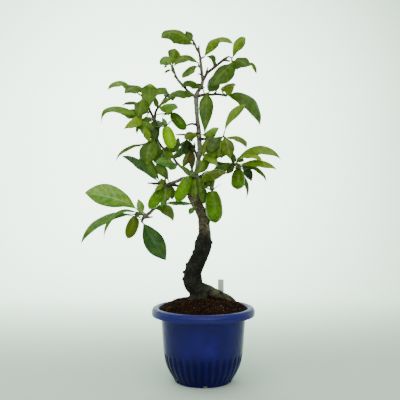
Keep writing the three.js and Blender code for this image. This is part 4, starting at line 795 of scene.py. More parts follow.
def sepal_rings(foot, middle, tip, face, light):
    """A pointed, hollowed sepal from foot to tip, its inner side looking to face"""
    t = np.linspace(0, 1, SEPAL_FORM["rows"])[:, None]
    line = through(foot, middle, tip, t)
    normal, right = ring_frame(line, face)
    outline = np.sin(math.pi * (0.18 + 0.82 * t) ** 0.9)
    half = np.maximum(SEPAL_FORM["half"] * outline, SEPAL_FORM["least"])
    upper = np.linspace(1, -1, SEPAL_FORM["columns"])
    sides = []
    for columns, sign in ((upper, 1), (upper[-2:0:-1], -1)):
        aside = np.abs(columns)
        height = SEPAL_FORM["hollow"] * aside**2 * half / 2 + sign * SEPAL_FORM["thick"] * (aside < 1)
        place = blade_points(line, normal, right, columns * half, height)
        down = np.broadcast_to(t, place.shape[:2])[..., None]
        sides.append(np.concatenate([place, down, np.full_like(down, light)], -1))
    return np.concatenate(sides, 1)


def calyx_surfaces(fruit):
    start, down, right, front, _ = fruit_frame(fruit)
    up, light = -down, fruit["green"][0]
    seat = start + up * CUP["lift"] * MM
    cup = [[CUP["height"] * (1 - math.cos(turn)) * MM - CUP["sink"] * MM,
            CUP["radius"] * max(math.cos(turn) ** 0.7, 0.25) * MM, 0, light]
           for turn in np.linspace(0, math.pi / 2 - 0.02, 8)]
    surfaces = [(revolved(seat, up, right, np.cross(up, right), cup, 20), 0)]
    for turn, spread, reach in fruit["sepals"]:
        turn, spread = math.radians(turn), math.radians(spread)
        out = right * math.cos(turn) - front * math.sin(turn)
        way = up * math.cos(spread) + out * math.sin(spread)
        foot = seat + out * SEPAL_FORM["foot"] * MM + up * SEPAL_FORM["rise"] * MM
        middle = foot + way * reach * 0.5 * MM
        tip = foot + way * reach * MM + out * SEPAL_FORM["curl"] * MM
        inward = up * math.sin(spread) - out * math.cos(spread)
        surfaces.append((sepal_rings(foot, middle, tip, inward, light), 0))
    top, end = np.array(fruit["top"]), np.array(fruit["tip"])
    first = top + (top - end) * STALK["start"]
    path = stem_path([[*place, STALK["radius"]] for place in (first, *fruit["stalk"])])
    return [*surfaces, (tube(path, 10, 2), 1)]


print("one calyx has", len(calyx_surfaces(FRUITS["large"])), "surfaces")

# %% Grow the fruits and their calyxes
for name, fruit in FRUITS.items():
    berry = put_together(f"fruit_{name}_grown", [(fruit_rings(fruit), 0)], [FRUIT_SKIN],
                         ["down", "light", "warm"])
    keep(berry, "fruit_" + name)
    calyx = put_together(f"calyx_{name}_grown", calyx_surfaces(fruit), [SEPAL, SHOOT], ["down", "light"])
    keep(calyx, "calyx_" + name)

# %% [markdown]
# ## Wood
#
# The trunk, its roots and all its branches are one living body, so limbs must flow into each other, and
# old bark must be rough. The limbs are given as rows of stations, x, y, z and radius in millimetres with
# the thick end first, and the making goes in four steps:
#
# 1. a mesh of lines along all limbs, which carries each place's radius as the attribute girth;
# 2. Geometry Nodes give every line a round section of that radius;
# 3. a voxel remesh melts the tubes into one skin;
# 4. Geometry Nodes press the bark's relief into it, deeper where the wood is thicker.
#
# The attribute pale is 1 on the smooth young leader, whose bark is light grey, and 0 on brown wood. The
# attribute old is 1 on the trunk, the roots and the cut snags, and 0 on everything that grew later.

# %% Stations of the wood
TRUNK = table("""
-4 0 82 11, -4.5 0 92 10.5, -5 0 99 9.5, -7.7 0 105 9.8, -10.6 0 110.5 10.4, -12.4 0 115.5 11, \
-12.2 -0.5 120.5 10.4, -11.6 -1 126 9.9, -9.6 -1.5 132 9.8, -6.8 -2 138 9.5, -3.8 -2.5 144 9.1, \
-1.6 -3 150 9.2, -0.2 -3 156 9.7, 0.3 -2.5 161 9.4, 1.1 -1.5 166 8, 1.5 -0.5 171 6.8, 1 1 178 6.4, \
0.8 2.5 186 6.7, -1.8 3.5 193.5 5.9, -5.5 4 201 6.1, -9.5 4 208 6.1, -13 3 214 5.3, -15.4 2.5 219 3.6
""")
ROOTS = table("""
-5 2 107 7.4, 5 3.5 104 6.2, 14 5 100.2 5.7, 23 7 96.6 5.2, 30 8 93.3 4.5, 36 9 89 3.4, 41 9 84 2.2
-7 3 100 7.5, -16 9 91 4.2, -26 15 86.5 3, -35 19 82 2
-7 -2 99 6.5, -16 -9 89.6 3.6, -25 -16 84.6 2.6, -33 -22 80 1.8
-3 -3 97 7, 0 -12 89 4, 4 -22 82 2.8, 8 -31 77 2
0 5 100 6.5, 6 15 94.5 4.4, 11 26 89.5 3.2, 15 35 83 2
""")
SNAGS = table("""
-18 -1 125 2.4, -24.2 -1 125.4 1.3
-15 -2 133.5 2.6, -20.4 -3 134.6 1.4
-18 -3 117 2.6, -24.6 -4 117.6 1.5
-8 -3 148.5 2.4, -12.6 -4 149.4 1.4
-10 -2 141 2.2, -15.2 -3 142 1.3
6 -3 159 2.4, 10.9 -4 160.2 1.4
-3 1 206 2.6, 1.4 -1.5 209.5 1.6
""")
LIMBS = table("""
# Leader, from the top of the old trunk to the upper fork
-10 1 206 4.2, -8.8 -1 214 3.7, -8.4 -2 227 3.1, -7.8 -1 240.5 2.5, -5.9 0 253.5 2.4, -4.1 1 267.4 2.7, \
-4.7 1 278 2.6, -5.5 0 292 2.5, -7 0 304 2.2, -7.8 1 316.5 2.2, -7.9 2 328.7 2.6, -6.4 2 335.5 2.1, \
-3 2 340 1.9, -1.4 2 344.5 1.8, -0.5 2 350 1.6
# Left and right tops of the fork
-0.6 2 348 1.6, -1.5 1 355 1.5, -2.2 0 362 1.45, -3 -1 369 1.35, -3.8 -1 376 1.25, -4.9 -1 382 1.1, \
-5.2 -2 389.5 0.6
-4.6 -1 380 1.1, -8 0 386 1, -10 1 391 0.9, -12 2 395.5 0.7
-0.6 2 348 1.6, 2 3 353 1.5, 4.4 4 357 1.4, 8 5 360 1.4, 12 6 363 1.4, 18 7 368 1.3, 25 7 373.5 1.2, \
30 6 376.8 0.7
23.5 7 372.3 1.1, 31.5 9 371 0.7
# Upper left twig
-7.8 2 327.5 1.6, -12 0 331.5 1.4, -17 -3 335.2 1.3, -21.5 -5 340 1.2, -26 -7 345 1.2, -30 -9 350 1.1, \
-33 -10 356 1, -34.6 -10 361 1, -36 -10 366.5 0.7
# Upper right branch
-7 2 330 1.6, -3 5 331 1.5, 3 8 332.5 1.4, 10 11 332 1.3, 15 13 332.5 1.2, 20 14 332 1.1, 27.5 15 330 0.7
12 12 332 0.9, 16 12 337 0.5
# Middle right branch
-4.7 1 280 1.6, 1 -4 280.5 1.3, 5 -7 280 1.2, 10 -10 281 1.1, 15 -12 281 1, 20 -13 282 0.9, 23 -13 283 0.7
# Lower right branch, passing behind its own leaves
-8.3 -1 230 2.1, -5 3 235.5 2, 2 8 238.5 1.9, 14 13 241.5 1.8, 26.5 16 245.5 1.6, 33 17 250 1.5, \
36 17 256 1.1, 36.2 17 262.5 0.6
# Left snag and the bare twig under it
-6 0 296.3 1.5, -13 -1 298 1.1, -20 -2 296 0.7
-5.2 0 287 1.2, -14 4 286.4 1, -21 6 285.6 0.9, -32 8 285.4 0.5
# Left branch to the upper left leaves, with its two forks
-9 -1 230 2.2, -12 2 235 1.7, -20 4 242.5 1.4, -30.6 4 252.5 1.3, -36.5 2 260.5 1.25, -47.8 -1 271 1.2, \
-53.4 -3 280 1.2, -56 -5 293 1.15, -57 -6 305 1.1
-56.8 -6 302 1.4, -55 -5 313 1.2, -49 -3 321 1.1, -45 -1 327 1, -40 1 333.5 0.7
-56.8 -6 302 1.4, -62 -9 313 1.2, -68 -11 323 1.1, -71 -12 329.5 0.7
# Low left branch, drooping at its end behind a fruit, and its thorns
-12 1 217 3, -13 -4 228 2.3, -17 -7 234.5 1.7, -24 -9 234.5 1.5, -30 -11 231.5 1.6, -37 -14 229 1.6, \
-44 -17 226 1.5, -50 -14 215 1.4, -54 -10 206 1.3, -57.5 -9 199.6 1.4, -64 -9 193 1.55, -70 -10 188 1.5, \
-72 -10 183 1.1
-69 -10 188.6 1.3, -58.6 -11 189.7 0.5
-43 -16.4 226.6 1.7, -50 -19 228 1.4, -65 -21 229 0.5
-44.3 -17 227 1.2, -44.5 -18 234.5 0.8
-39 -14.6 228 1.5, -33 -11 226.4 1.5, -27 -8 225.4 1.1
# Back branches, hidden from the front
-6.2 1 258 1.9, -8 12 263 1.5, -12 24 270 1.2, -15 34 276 0.8
-4.2 2 268 1.8, 3 14 268 1.4, 11 26 269 1.1, 16 36 271 0.8
-2 2 343 1.2, -7 14 344 1, -11 24 343 0.7
""")
SPURS = table("""
-1.6 1 355.5 0.9, -6.4 0 356.2 0.4
3.2 4 357.5 0.9, 5.6 2 364.2 0.4
13 6 365 1.2, 14.4 5 370.5 0.8
-3.4 -1 373.6 0.9, 1.2 -4 376.2 0.5
12 -11 281 0.9, 12.2 -12 285.2 0.4
-1.8 2 342 0.9, 1.2 -1 334 0.5
-30 -9 351 0.9, -34.5 -11 353.5 0.4
-21 -5 340 0.9, -19.5 -7 344.4 0.4
""")
# How pale the bark of each limb is, by its number in LIMBS. The others have brown bark.
PALE = {0: 1.0, 1: 0.2, 5: 0.5, 12: 0.25, 15: 0.3}
print(sum(map(len, (TRUNK, ROOTS, SNAGS, LIMBS, SPURS))), "limbs")

# %% [markdown]
# The remesh eats a little of what is thin, so every limb is drawn stouter by STOUTER, and none is
# thinner than LEAST_RADIUS.

# %% Lines along all limbs, with their girth, paleness and age
LEAST_RADIUS = 0.7
STOUTER = 0.3


def limb_lines():
    """The mesh of lines that the wood grows on"""
    limbs = [*[(limb, 0, 1) for limb in (*TRUNK, *ROOTS, *SNAGS)],
             *[(limb, PALE.get(number, 0), 0) for number, limb in enumerate(LIMBS)],
             *[(spur, 0, 0) for spur in SPURS]]
    points, edges, pale, old = [], [], [], []
    for stations, paleness, age in limbs:
        path = stem_path(stations)
        path[:, 3] = np.maximum(path[:, 3] + STOUTER * MM, LEAST_RADIUS * MM)
        edges += [(len(pale) + k, len(pale) + k + 1) for k in range(len(path) - 1)]
        pale += [paleness] * len(path)
        old += [age] * len(path)
        points.append(path)
    points = np.vstack(points)
    return new_mesh("limb_lines", points[:, :3], edges, [],
                    {"girth": points[:, 3], "pale": np.array(pale), "old": np.array(old)})


lines = limb_lines()
print(len(lines.data.vertices), "places along the limbs")

# %% [markdown]
# Geometry trees are built with the same `add` as the materials. `new_tree` declares what goes in,
# `close_tree` makes the result plain geometry with its material, and `run_tree` puts the tree on an
# object and sets its inputs by their identifiers, before anything is evaluated. `settle` swaps the live
# modifiers for the plain mesh that they make.

# %% Helpers for Geometry Nodes
def new_tree(name, inputs):
    """A geometry tree with named inputs of the given socket types, and its input sockets"""
    tree = bpy.data.node_groups.new(name, "GeometryNodeTree")
    for label, kind in {"Geometry": "Geometry", **inputs}.items():
        tree.interface.new_socket(label, in_out="INPUT", socket_type="NodeSocket" + kind)
    tree.interface.new_socket("Geometry", in_out="OUTPUT", socket_type="NodeSocketGeometry")
    return tree, tree.nodes.new("NodeGroupInput").outputs


def close_tree(tree, shape, material):
    """Ends a tree: instances made real, the material set, and the result handed out"""
    shape = add(tree, "GeometryNodeRealizeInstances", {"Geometry": shape})
    shape = add(tree, "GeometryNodeSetMaterial", {"Geometry": shape, "Material": material})
    add(tree, "NodeGroupOutput", {"Geometry": shape})
    return tree


def run_tree(made, tree, values):
    """Puts the tree on an object as a modifier and sets its inputs"""
    modifier = made.modifiers.new(tree.name, "NODES")
    modifier.node_group = tree
    for item in tree.interface.items_tree:
        if item.in_out == "INPUT" and item.name in values:
            modifier[item.identifier] = values[item.name]


def settle(made):
    """The object keeps the plain mesh that its modifiers make"""
    evaluated = made.evaluated_get(bpy.context.evaluated_depsgraph_get())
    mesh = bpy.data.meshes.new_from_object(evaluated)
    made.modifiers.clear()
    made.data = mesh


print("helpers:", ", ".join(helper.__name__ for helper in (new_tree, close_tree, run_tree, settle)))

# %% [markdown]
# ### Bark
#
# The bark of the old trunk is charcoal with a breath of green, cracked into small plates 5 mm across
# that are taller than wide. Further up it is browner, with paler worn patches. The leader's bark is thin,
# smooth and light grey, with dark knots. Twigs are dark brown, and the roots and the foot of the trunk
# wear a green-grey film of algae and moss. Bark is too rough to shine, so its IOR is low.
#
# A first tree makes tubes of the lines, and a second presses the relief. Four patterns add up there, each
# as a share of the limb's radius: lumps 10 mm across, cracks between Voronoi cells, grit 1.6 mm across,
# and rings that swell young wood at its knots. The sum moves each point along its normal, and is kept as
# the attribute relief, so that the material can make the bark darker in the cracks and lighter on the
# ridges.

# %% The tree that rounds the limbs
def round_limbs_tree():
    tree, entry = new_tree("round_limbs", {"Sides": "Int"})
    curve = add(tree, "GeometryNodeMeshToCurve", {"Mesh": entry["Geometry"]})
    circle = add(tree, "GeometryNodeCurvePrimitiveCircle", {"Resolution": entry["Sides"], "Radius": 1})
    girth = add(tree, "GeometryNodeInputNamedAttribute", {"Name": "girth"}, data_type="FLOAT")
    limbs = add(tree, "GeometryNodeCurveToMesh", {"Curve": curve, "Profile Curve": circle, "Scale": girth,
                                                  "Fill Caps": True})
    add(tree, "NodeGroupOutput", {"Geometry": limbs})
    return tree


ROUND_LIMBS = round_limbs_tree()
print("nodes in the tree:", len(ROUND_LIMBS.nodes))

# %% The tree that presses the bark
def bark_tree():
    tree, entry = new_tree("press_bark", {
        "Lines": "Object", "Lumps": "Float", "Cracks": "Float", "Grit": "Float", "Knots": "Float",
        "Bark": "Material"})
    lines_in = add(tree, "GeometryNodeObjectInfo", {"Object": entry["Lines"]}, out="Geometry")
    nearest = add(tree, "GeometryNodeSampleNearest", {"Geometry": lines_in}, domain="POINT")
    girth, pale, age = [
        add(tree, "GeometryNodeSampleIndex",
            {"Geometry": lines_in, "Index": nearest,
             "Value": add(tree, "GeometryNodeInputNamedAttribute", {"Name": name}, data_type="FLOAT")},
            data_type="FLOAT", domain="POINT")
        for name in ("girth", "pale", "old")]
    spot = add(tree, "GeometryNodeInputPosition")
    upright = add(tree, "VectorMath.MULTIPLY", [spot, (1, 1, 0.55)])
    level = add(tree, "VectorMath.MULTIPLY", [spot, (0.25, 0.25, 1)])
    stout = add(tree, "MapRange", [girth, 3 * MM, 6 * MM])
    old = add(tree, "Math.MAXIMUM", [stout, age])
    young = add(tree, "Math.SUBTRACT", [1, old])
    edge = add(tree, "TexVoronoi", {"Vector": upright, "Scale": per_metre(5)}, feature="DISTANCE_TO_EDGE",
               out="Distance")
    crack = add(tree, "MapRange", [edge, 0, 0.2, -1, 0.3], interpolation_type="SMOOTHSTEP")
    lumps, grit, knots = [
        add(tree, "MapRange", [add(tree, "TexNoise", {"Vector": place, "Scale": per_metre(size),
                                                      "Detail": detail}), 0.3, 0.7, low, 1])
        for place, size, detail, low in ((spot, 10, 1, -1), (spot, 1.6, 2, -1), (level, 5, 1, -0.6))]
    cracks = add(tree, "Math.MULTIPLY", [crack, old])
    knots = add(tree, "Math.MULTIPLY", [knots, young])
    relief = 0
    for pattern, share in ((lumps, "Lumps"), (grit, "Grit"), (cracks, "Cracks"), (knots, "Knots")):
        relief = add(tree, "Math.MULTIPLY_ADD", [pattern, entry[share], relief])
    depth = add(tree, "Math.MULTIPLY", [relief, girth])
    push = add(tree, "VectorMath.SCALE", {0: add(tree, "GeometryNodeInputNormal"), "Scale": depth})
    shape = add(tree, "GeometryNodeSetPosition", {"Geometry": entry["Geometry"], "Offset": push})
    climb = add(tree, "SeparateXYZ", [spot], out="Z")
    young_height = add(tree, "MapRange", [climb, 0.215, 0.25])
    pale = add(tree, "Math.MULTIPLY", [pale, young_height])
    for name, value in (("girth", girth), ("pale", pale), ("old", age), ("relief", relief)):
        shape = add(tree, "GeometryNodeStoreNamedAttribute",
                    {"Geometry": shape, "Name": name, "Value": value}, data_type="FLOAT")
    return close_tree(tree, shape, entry["Bark"])


PRESS_BARK = bark_tree()
print("nodes in the tree:", len(PRESS_BARK.nodes))

# %% The finish of the bark
CHARCOAL = [(0.25, "#0f0f0c"), (0.45, "#1f1f18"), (0.6, "#2f2f25"), (0.8, "#4b4a3b")]
BROWN = [(0.25, "#2a2119"), (0.42, "#574d3a"), (0.56, "#857b61"), (0.75, "#b0a88b")]
GREY = [(0.25, "#36332b"), (0.42, "#6c695c"), (0.6, "#878475"), (0.85, "#a5a394")]
TWIG = [(0.25, "#211b17"), (0.45, "#41372f"), (0.6, "#5e5248"), (0.85, "#8a7e70")]
MOSS = [(0.3, "#2c2f1e"), (0.5, "#5a5c44"), (0.7, "#8c8a70")]


def bark_finish():
    material, tree, shader, spot, girth, pale, old, relief = new_finish(
        "persimmon_bark", 0.88, 1.3, ["girth", "pale", "old", "relief"])
    height, sideways = [add(tree, "SeparateXYZ", [spot], out=axis) for axis in ("Z", "X")]
    speck, patch, grain = [
        add(tree, "TexNoise", {"Vector": spot, "Scale": per_metre(size), "Detail": detail,
                               "Roughness": roughness})
        for size, detail, roughness in ((1.4, 4, 0.7), (7, 3, 0.5), (0.7, 3, 0.5))]
    # The tone follows the relief: darker in the cracks, lighter on the ridges
    relief_tone = add(tree, "MapRange", [relief, -0.1, 0.14, -0.22, 0.2])
    tone = add(tree, "Math.ADD", [speck, relief_tone])
    charcoal, brown, grey, twig = [add(tree, "ValToRGB", [tone], stops=stops)
                                   for stops in (CHARCOAL, BROWN, GREY, TWIG)]
    moss = add(tree, "ValToRGB", [speck], stops=MOSS)
    climb = add(tree, "MapRange", [height, 0.165, 0.177])
    uneven = add(tree, "MapRange", [patch, 0.35, 0.65, 0.45, 1])
    higher = add(tree, "Math.MULTIPLY", [climb, uneven])
    thin = add(tree, "MapRange", [girth, 4.5 * MM, 2 * MM])
    young = add(tree, "Math.SUBTRACT", [1, old])
    twiggy = add(tree, "Math.MULTIPLY", [thin, young])
    # The film is low down, and thickest on the right
    low = add(tree, "MapRange", [height, 0.118, 0.106])
    right = add(tree, "MapRange", [sideways, 0, 0.016, 0.12, 1])
    film = add(tree, "MapRange", [patch, 0.3, 0.52, 0, 0.9])
    damp = add(tree, "Math.MULTIPLY", [low, right])
    mossy = add(tree, "Math.MULTIPLY", [damp, film])
    colour = charcoal
    for share, over in ((higher, brown), (twiggy, twig), (pale, grey), (mossy, moss)):
        colour = add(tree, "Mix", {0: share, 6: colour, 7: over}, data_type="RGBA", out=2)
    smooth = add(tree, "MapRange", [pale, 0, 1, 0.92, 0.68])
    bump = add(tree, "Bump", {"Strength": 0.7, "Distance": 0.3 * MM, "Height": grain})
    plug(tree, shader, {"Base Color": colour, "Roughness": smooth, "Normal": bump})
    return material


BARK = bark_finish()
print("finish:", BARK.name)

# %% Grow the wood
VOXEL = 0.45
LIMB_SIDES = 28
wood = new_object("old_wood", lines.data.copy())
run_tree(wood, ROUND_LIMBS, {"Sides": LIMB_SIDES})
melt = wood.modifiers.new("melt", "REMESH")
melt.mode = "VOXEL"
melt.voxel_size = VOXEL * MM
ease = wood.modifiers.new("ease", "SMOOTH")
ease.factor = 0.5
ease.iterations = 2
run_tree(wood, PRESS_BARK, {"Lines": lines, "Lumps": 0.05, "Cracks": 0.05, "Grit": 0.03, "Knots": 0.1,
                            "Bark": BARK})
settle(wood)
wood.data.shade_smooth()
bpy.data.objects.remove(lines)
keep(wood, "trunk_and_branches")

# %% [markdown]
# ## Soil
#
# Bonsai soil is a mix of fired clay and humus in grains of 1 to 4 mm, here damp and dark, with reddish
# grains among the brown and a few pale ones. It is heaped round the stump. Crumbs scatter light and
# show no sheen, so the finish is rough and its IOR low.
#
# The heap is a revolved outline. Geometry Nodes roughen its top and then scatter two sizes of grain
# over it: coarse ones that keep 2.6 mm apart, and fine ones in between. One lump of 32 faces serves for
# all grains, because each is turned at random and stretched differently. The number grain, from 0 to 1,
# is drawn once for each grain and picks its colour.

# %% The finish of the soil
MOUTH = 51.3
SOIL = {"edge": 81.5, "crown": 14.5, "power": 0.7, "clear": 0.6}
BARE_GRAIN = 0.3  # the number grain of the ground between the grains
GRAINS = [(0, "#110a05"), (0.45, "#20130a"), (0.7, "#34200f"), (0.88, "#482810"), (0.96, "#5a371b"),
          (0.99, "#6d6350")]


def soil_finish():
    material, tree, shader, spot, grain = new_finish("damp_bonsai_soil", 0.95, 1.2, ["grain"])
    dust, patch = [
        add(tree, "TexNoise", {"Vector": spot, "Scale": per_metre(size), "Detail": detail})
        for size, detail in ((1.1, 3), (14, 2))]
    kind = add(tree, "ValToRGB", [grain], stops=GRAINS)
    shade = add(tree, "MapRange", [dust, 0.3, 0.7, 0.55, 1.35])
    damp = add(tree, "MapRange", [patch, 0.35, 0.65, 0.65, 1.25])
    both = add(tree, "Math.MULTIPLY", [shade, damp])
    colour = add(tree, "Mix", {0: 1, 6: kind, 7: both}, data_type="RGBA", blend_type="MULTIPLY", out=2)
    bump = add(tree, "Bump", {"Strength": 0.8, "Distance": 0.3 * MM, "Height": dust})
    plug(tree, shader, {"Base Color": colour, "Normal": bump})
    return material


SOIL_FINISH = soil_finish()
print("finish:", SOIL_FINISH.name)

# %% The heap, and one lump of soil
HEAP_WALL = [[5.1, 1], [5.1, 32.6], [24.3, 42.1], [73.3, 47]]  # height and radius
HEAP_BRIM = 79.8
HEAP_STEPS, HEAP_SIDES = 64, 120
LUMP_CORNERS, LUMP_REACH = 18, (0.4, 0.5)


def soil_top(radius):
    return SOIL["edge"] + SOIL["crown"] * max(0, 1 - (radius / MOUTH) ** 2) ** SOIL["power"]


def heap_rings():
    """The soil's outline, from the pot's floor up its wall and over the heap"""
    brim = MOUTH - SOIL["clear"]
    top = [[soil_top(radius), radius] for radius in np.linspace(brim, 0.8, HEAP_STEPS)]
    rows = np.array([*HEAP_WALL, [HEAP_BRIM, brim], *top]) * MM
    return revolved(ORIGIN, Z, X, Y, np.hstack([rows, np.full((len(rows), 1), BARE_GRAIN)]), HEAP_SIDES)


def lump_of_soil():
    """A rounded angular lump, 1 m across, for the instances to scale"""
    shape = bmesh.new()
    directions = unit(random.normal(size=(LUMP_CORNERS, 3)))
    for direction in directions * random.uniform(*LUMP_REACH, (LUMP_CORNERS, 1)):
        shape.verts.new(direction)
    hull = bmesh.ops.convex_hull(shape, input=shape.verts)
    bmesh.ops.delete(shape, geom=hull["geom_interior"], context="VERTS")
    mesh = bpy.data.meshes.new("soil_lump")
    shape.to_mesh(mesh)
    shape.free()
    return new_object("soil_lump", mesh)


lump = lump_of_soil()
heap = put_together("potting_soil", [(heap_rings(), 0)], [SOIL_FINISH], ["grain"])
print("one lump has", len(lump.data.polygons), "faces")

# %% The tree that scatters the grains
def scatter_tree():
    tree, entry = new_tree("scatter_grains", {
        "Lump": "Object", "Coarse size": "Float", "Fine size": "Float", "Edge height": "Float",
        "Reach": "Float", "Seed": "Int", "Soil": "Material"})
    spot = add(tree, "GeometryNodeInputPosition")
    height = add(tree, "SeparateXYZ", [spot], out="Z")
    on_top = add(tree, "FunctionNodeCompare.GREATER_THAN", [height, entry["Edge height"]])
    rough = add(tree, "TexNoise", {"Vector": spot, "Scale": per_metre(6), "Detail": 3})
    lift = add(tree, "MapRange", [rough, 0.3, 0.7, -1.1 * MM, 0.9 * MM])
    up = add(tree, "CombineXYZ", {"Z": lift})
    ground = add(tree, "GeometryNodeSetPosition", {"Geometry": entry["Geometry"], "Selection": on_top,
                                                   "Offset": up})
    flat = add(tree, "VectorMath.MULTIPLY", [spot, (1, 1, 0)])
    off_axis = add(tree, "VectorMath.LENGTH", [flat], out="Value")
    inside = add(tree, "FunctionNodeCompare.LESS_THAN", [off_axis, entry["Reach"]])
    allowed = add(tree, "FunctionNodeBooleanMath.AND", [on_top, inside])
    lump_in = add(tree, "GeometryNodeObjectInfo", {"Object": entry["Lump"], "As Instance": True},
                  out="Geometry")
    join = tree.nodes.new("GeometryNodeJoinGeometry")
    tree.links.new(ground, join.inputs[0])
    for size, apart, most, seed in (("Coarse size", 2.6, 1.2e5, 1), ("Fine size", 1, 6e5, 2)):
        own_seed = add(tree, "Math.ADD", [entry["Seed"], seed])
        points = add(tree, "GeometryNodeDistributePointsOnFaces",
                     {"Mesh": ground, "Selection": allowed, "Seed": own_seed, "Distance Min": apart * MM,
                      "Density Max": most}, distribute_method="POISSON")
        turned = add(tree, "FunctionNodeRandomValue", {"Max": (6.3, 6.3, 6.3), "Seed": own_seed},
                     data_type="FLOAT_VECTOR")
        stretch = add(tree, "FunctionNodeRandomValue", {"Min": (0.6, 0.6, 0.5), "Max": (1.25, 1.25, 1),
                                                        "Seed": own_seed}, data_type="FLOAT_VECTOR")
        scale = add(tree, "VectorMath.SCALE", {0: stretch, "Scale": entry[size]})
        grains = add(tree, "GeometryNodeInstanceOnPoints", {"Points": points, "Instance": lump_in,
                                                            "Rotation": turned, "Scale": scale})
        draw = add(tree, "FunctionNodeRandomValue", {"Seed": own_seed}, data_type="FLOAT", out=1)
        grains = add(tree, "GeometryNodeStoreNamedAttribute",
                     {"Geometry": grains, "Name": "grain", "Value": draw},
                     data_type="FLOAT", domain="INSTANCE")
        tree.links.new(grains, join.inputs[0])
    return close_tree(tree, join.outputs[0], entry["Soil"])


SCATTER_GRAINS = scatter_tree()
print("nodes in the tree:", len(SCATTER_GRAINS.nodes))

# %% Scatter the grains
run_tree(heap, SCATTER_GRAINS, {"Lump": lump, "Coarse size": 3 * MM, "Fine size": 1.5 * MM,
                                "Edge height": 81.7 * MM, "Reach": 49 * MM, "Seed": 5,
                                "Soil": SOIL_FINISH})
settle(heap)
bpy.data.objects.remove(lump)
keep(heap, "soil")

# %% [markdown]
# ## Pot
#
# The pot is one injection moulding of polypropylene, pigmented cobalt blue and shiny from a polished
# mould. Its wall curves in to a narrow foot, the lower part has 35 shallow flutes with round tops, and
# the rim is rolled outwards. Six slots under the floor drain it.
#
# It is a body whose shape follows rules, so its half section is written down as corners, each with the
# length that its rounding takes, and revolved. Geometry Nodes then press the flutes: a point is moved
# inward by how near it lies to the middle line of a flute. A Boolean cuts the slots.

# %% The pot's half section
POT = {"foot": 33, "fluted_from": 3, "flute_top": 34.5, "flutes": 35, "flute_depth": 0.9,
       "flute_half": 2.9, "first_flute": -91.3, "sides": 420, "fluted_radius": 45, "fluted_below": 60}

# Radius, height and length of the rounding, from under the floor round the rim and down inside
CORNERS = table("""
0.5 0 0, 9 0 0.4, 10 3 0.8, 31.2 3 0.8, 31.5 0 0.4, 33 0 0.5, 35 4 2, 40 12 4.5, 44 21 5, 46.2 34.5 8, \
49.2 73.6 0.3, 50.1 74.4 0.3, 53.8 81.4 1, 57.6 82 1.4, 58.4 76.6 0.5, 59.5 76 0.6, 60 79 2, \
59.6 82.4 2.2, 57.6 84.9 1.8, 54.8 85.3 1.6, 52.2 84.7 1.3, 51.3 82.6 1.2, 50.8 79 2, 47.6 73 2, \
42.7 24 8, 38.2 12.4 4, 33.2 4.8 2, 0.5 4.8 0
""")[0]
ROUNDING_POINTS = 5
LONGEST_STEP = 1.4


def half_section():
    """Rows [height, radius, share of the flutes' depth] along the rounded half section"""
    corners = np.array(CORNERS)
    line = [corners[0, :2]]
    for before, (*here, cut), after in zip(corners, corners[1:], corners[2:]):
        here = np.array(here)
        a = here + unit(before[:2] - here) * cut
        b = here + unit(after[:2] - here) * cut
        for t in np.linspace(0, 1, ROUNDING_POINTS):
            line.append((1 - t) ** 2 * a + 2 * t * (1 - t) * here + t**2 * b)
    line.append(corners[-1, :2])
    rows = []
    for a, b in zip(line, line[1:]):
        outer = min(a[0], b[0]) > POT["foot"] and a[1] < b[1] < POT["fluted_below"]
        steps = max(1, round(np.linalg.norm(b - a) / (LONGEST_STEP if outer else 4 * LONGEST_STEP)))
        rows += [[*(a + (b - a) * k / steps)[::-1], float(outer)] for k in range(steps)]
    return np.array([*rows, [*line[-1][::-1], 0.0]])


section = half_section()
section[:, :2] *= MM
pot = put_together("moulded_pot", [(revolved(ORIGIN, Z, X, Y, section, POT["sides"]), 0)], [], ["outer"])
print("half section of", len(section), "points")

# %% [markdown]
# A flute narrows towards the foot, so how far a point lies beside its middle line is measured as it
# would be at one fixed radius. Above the middle of its round top the distance is taken from there.

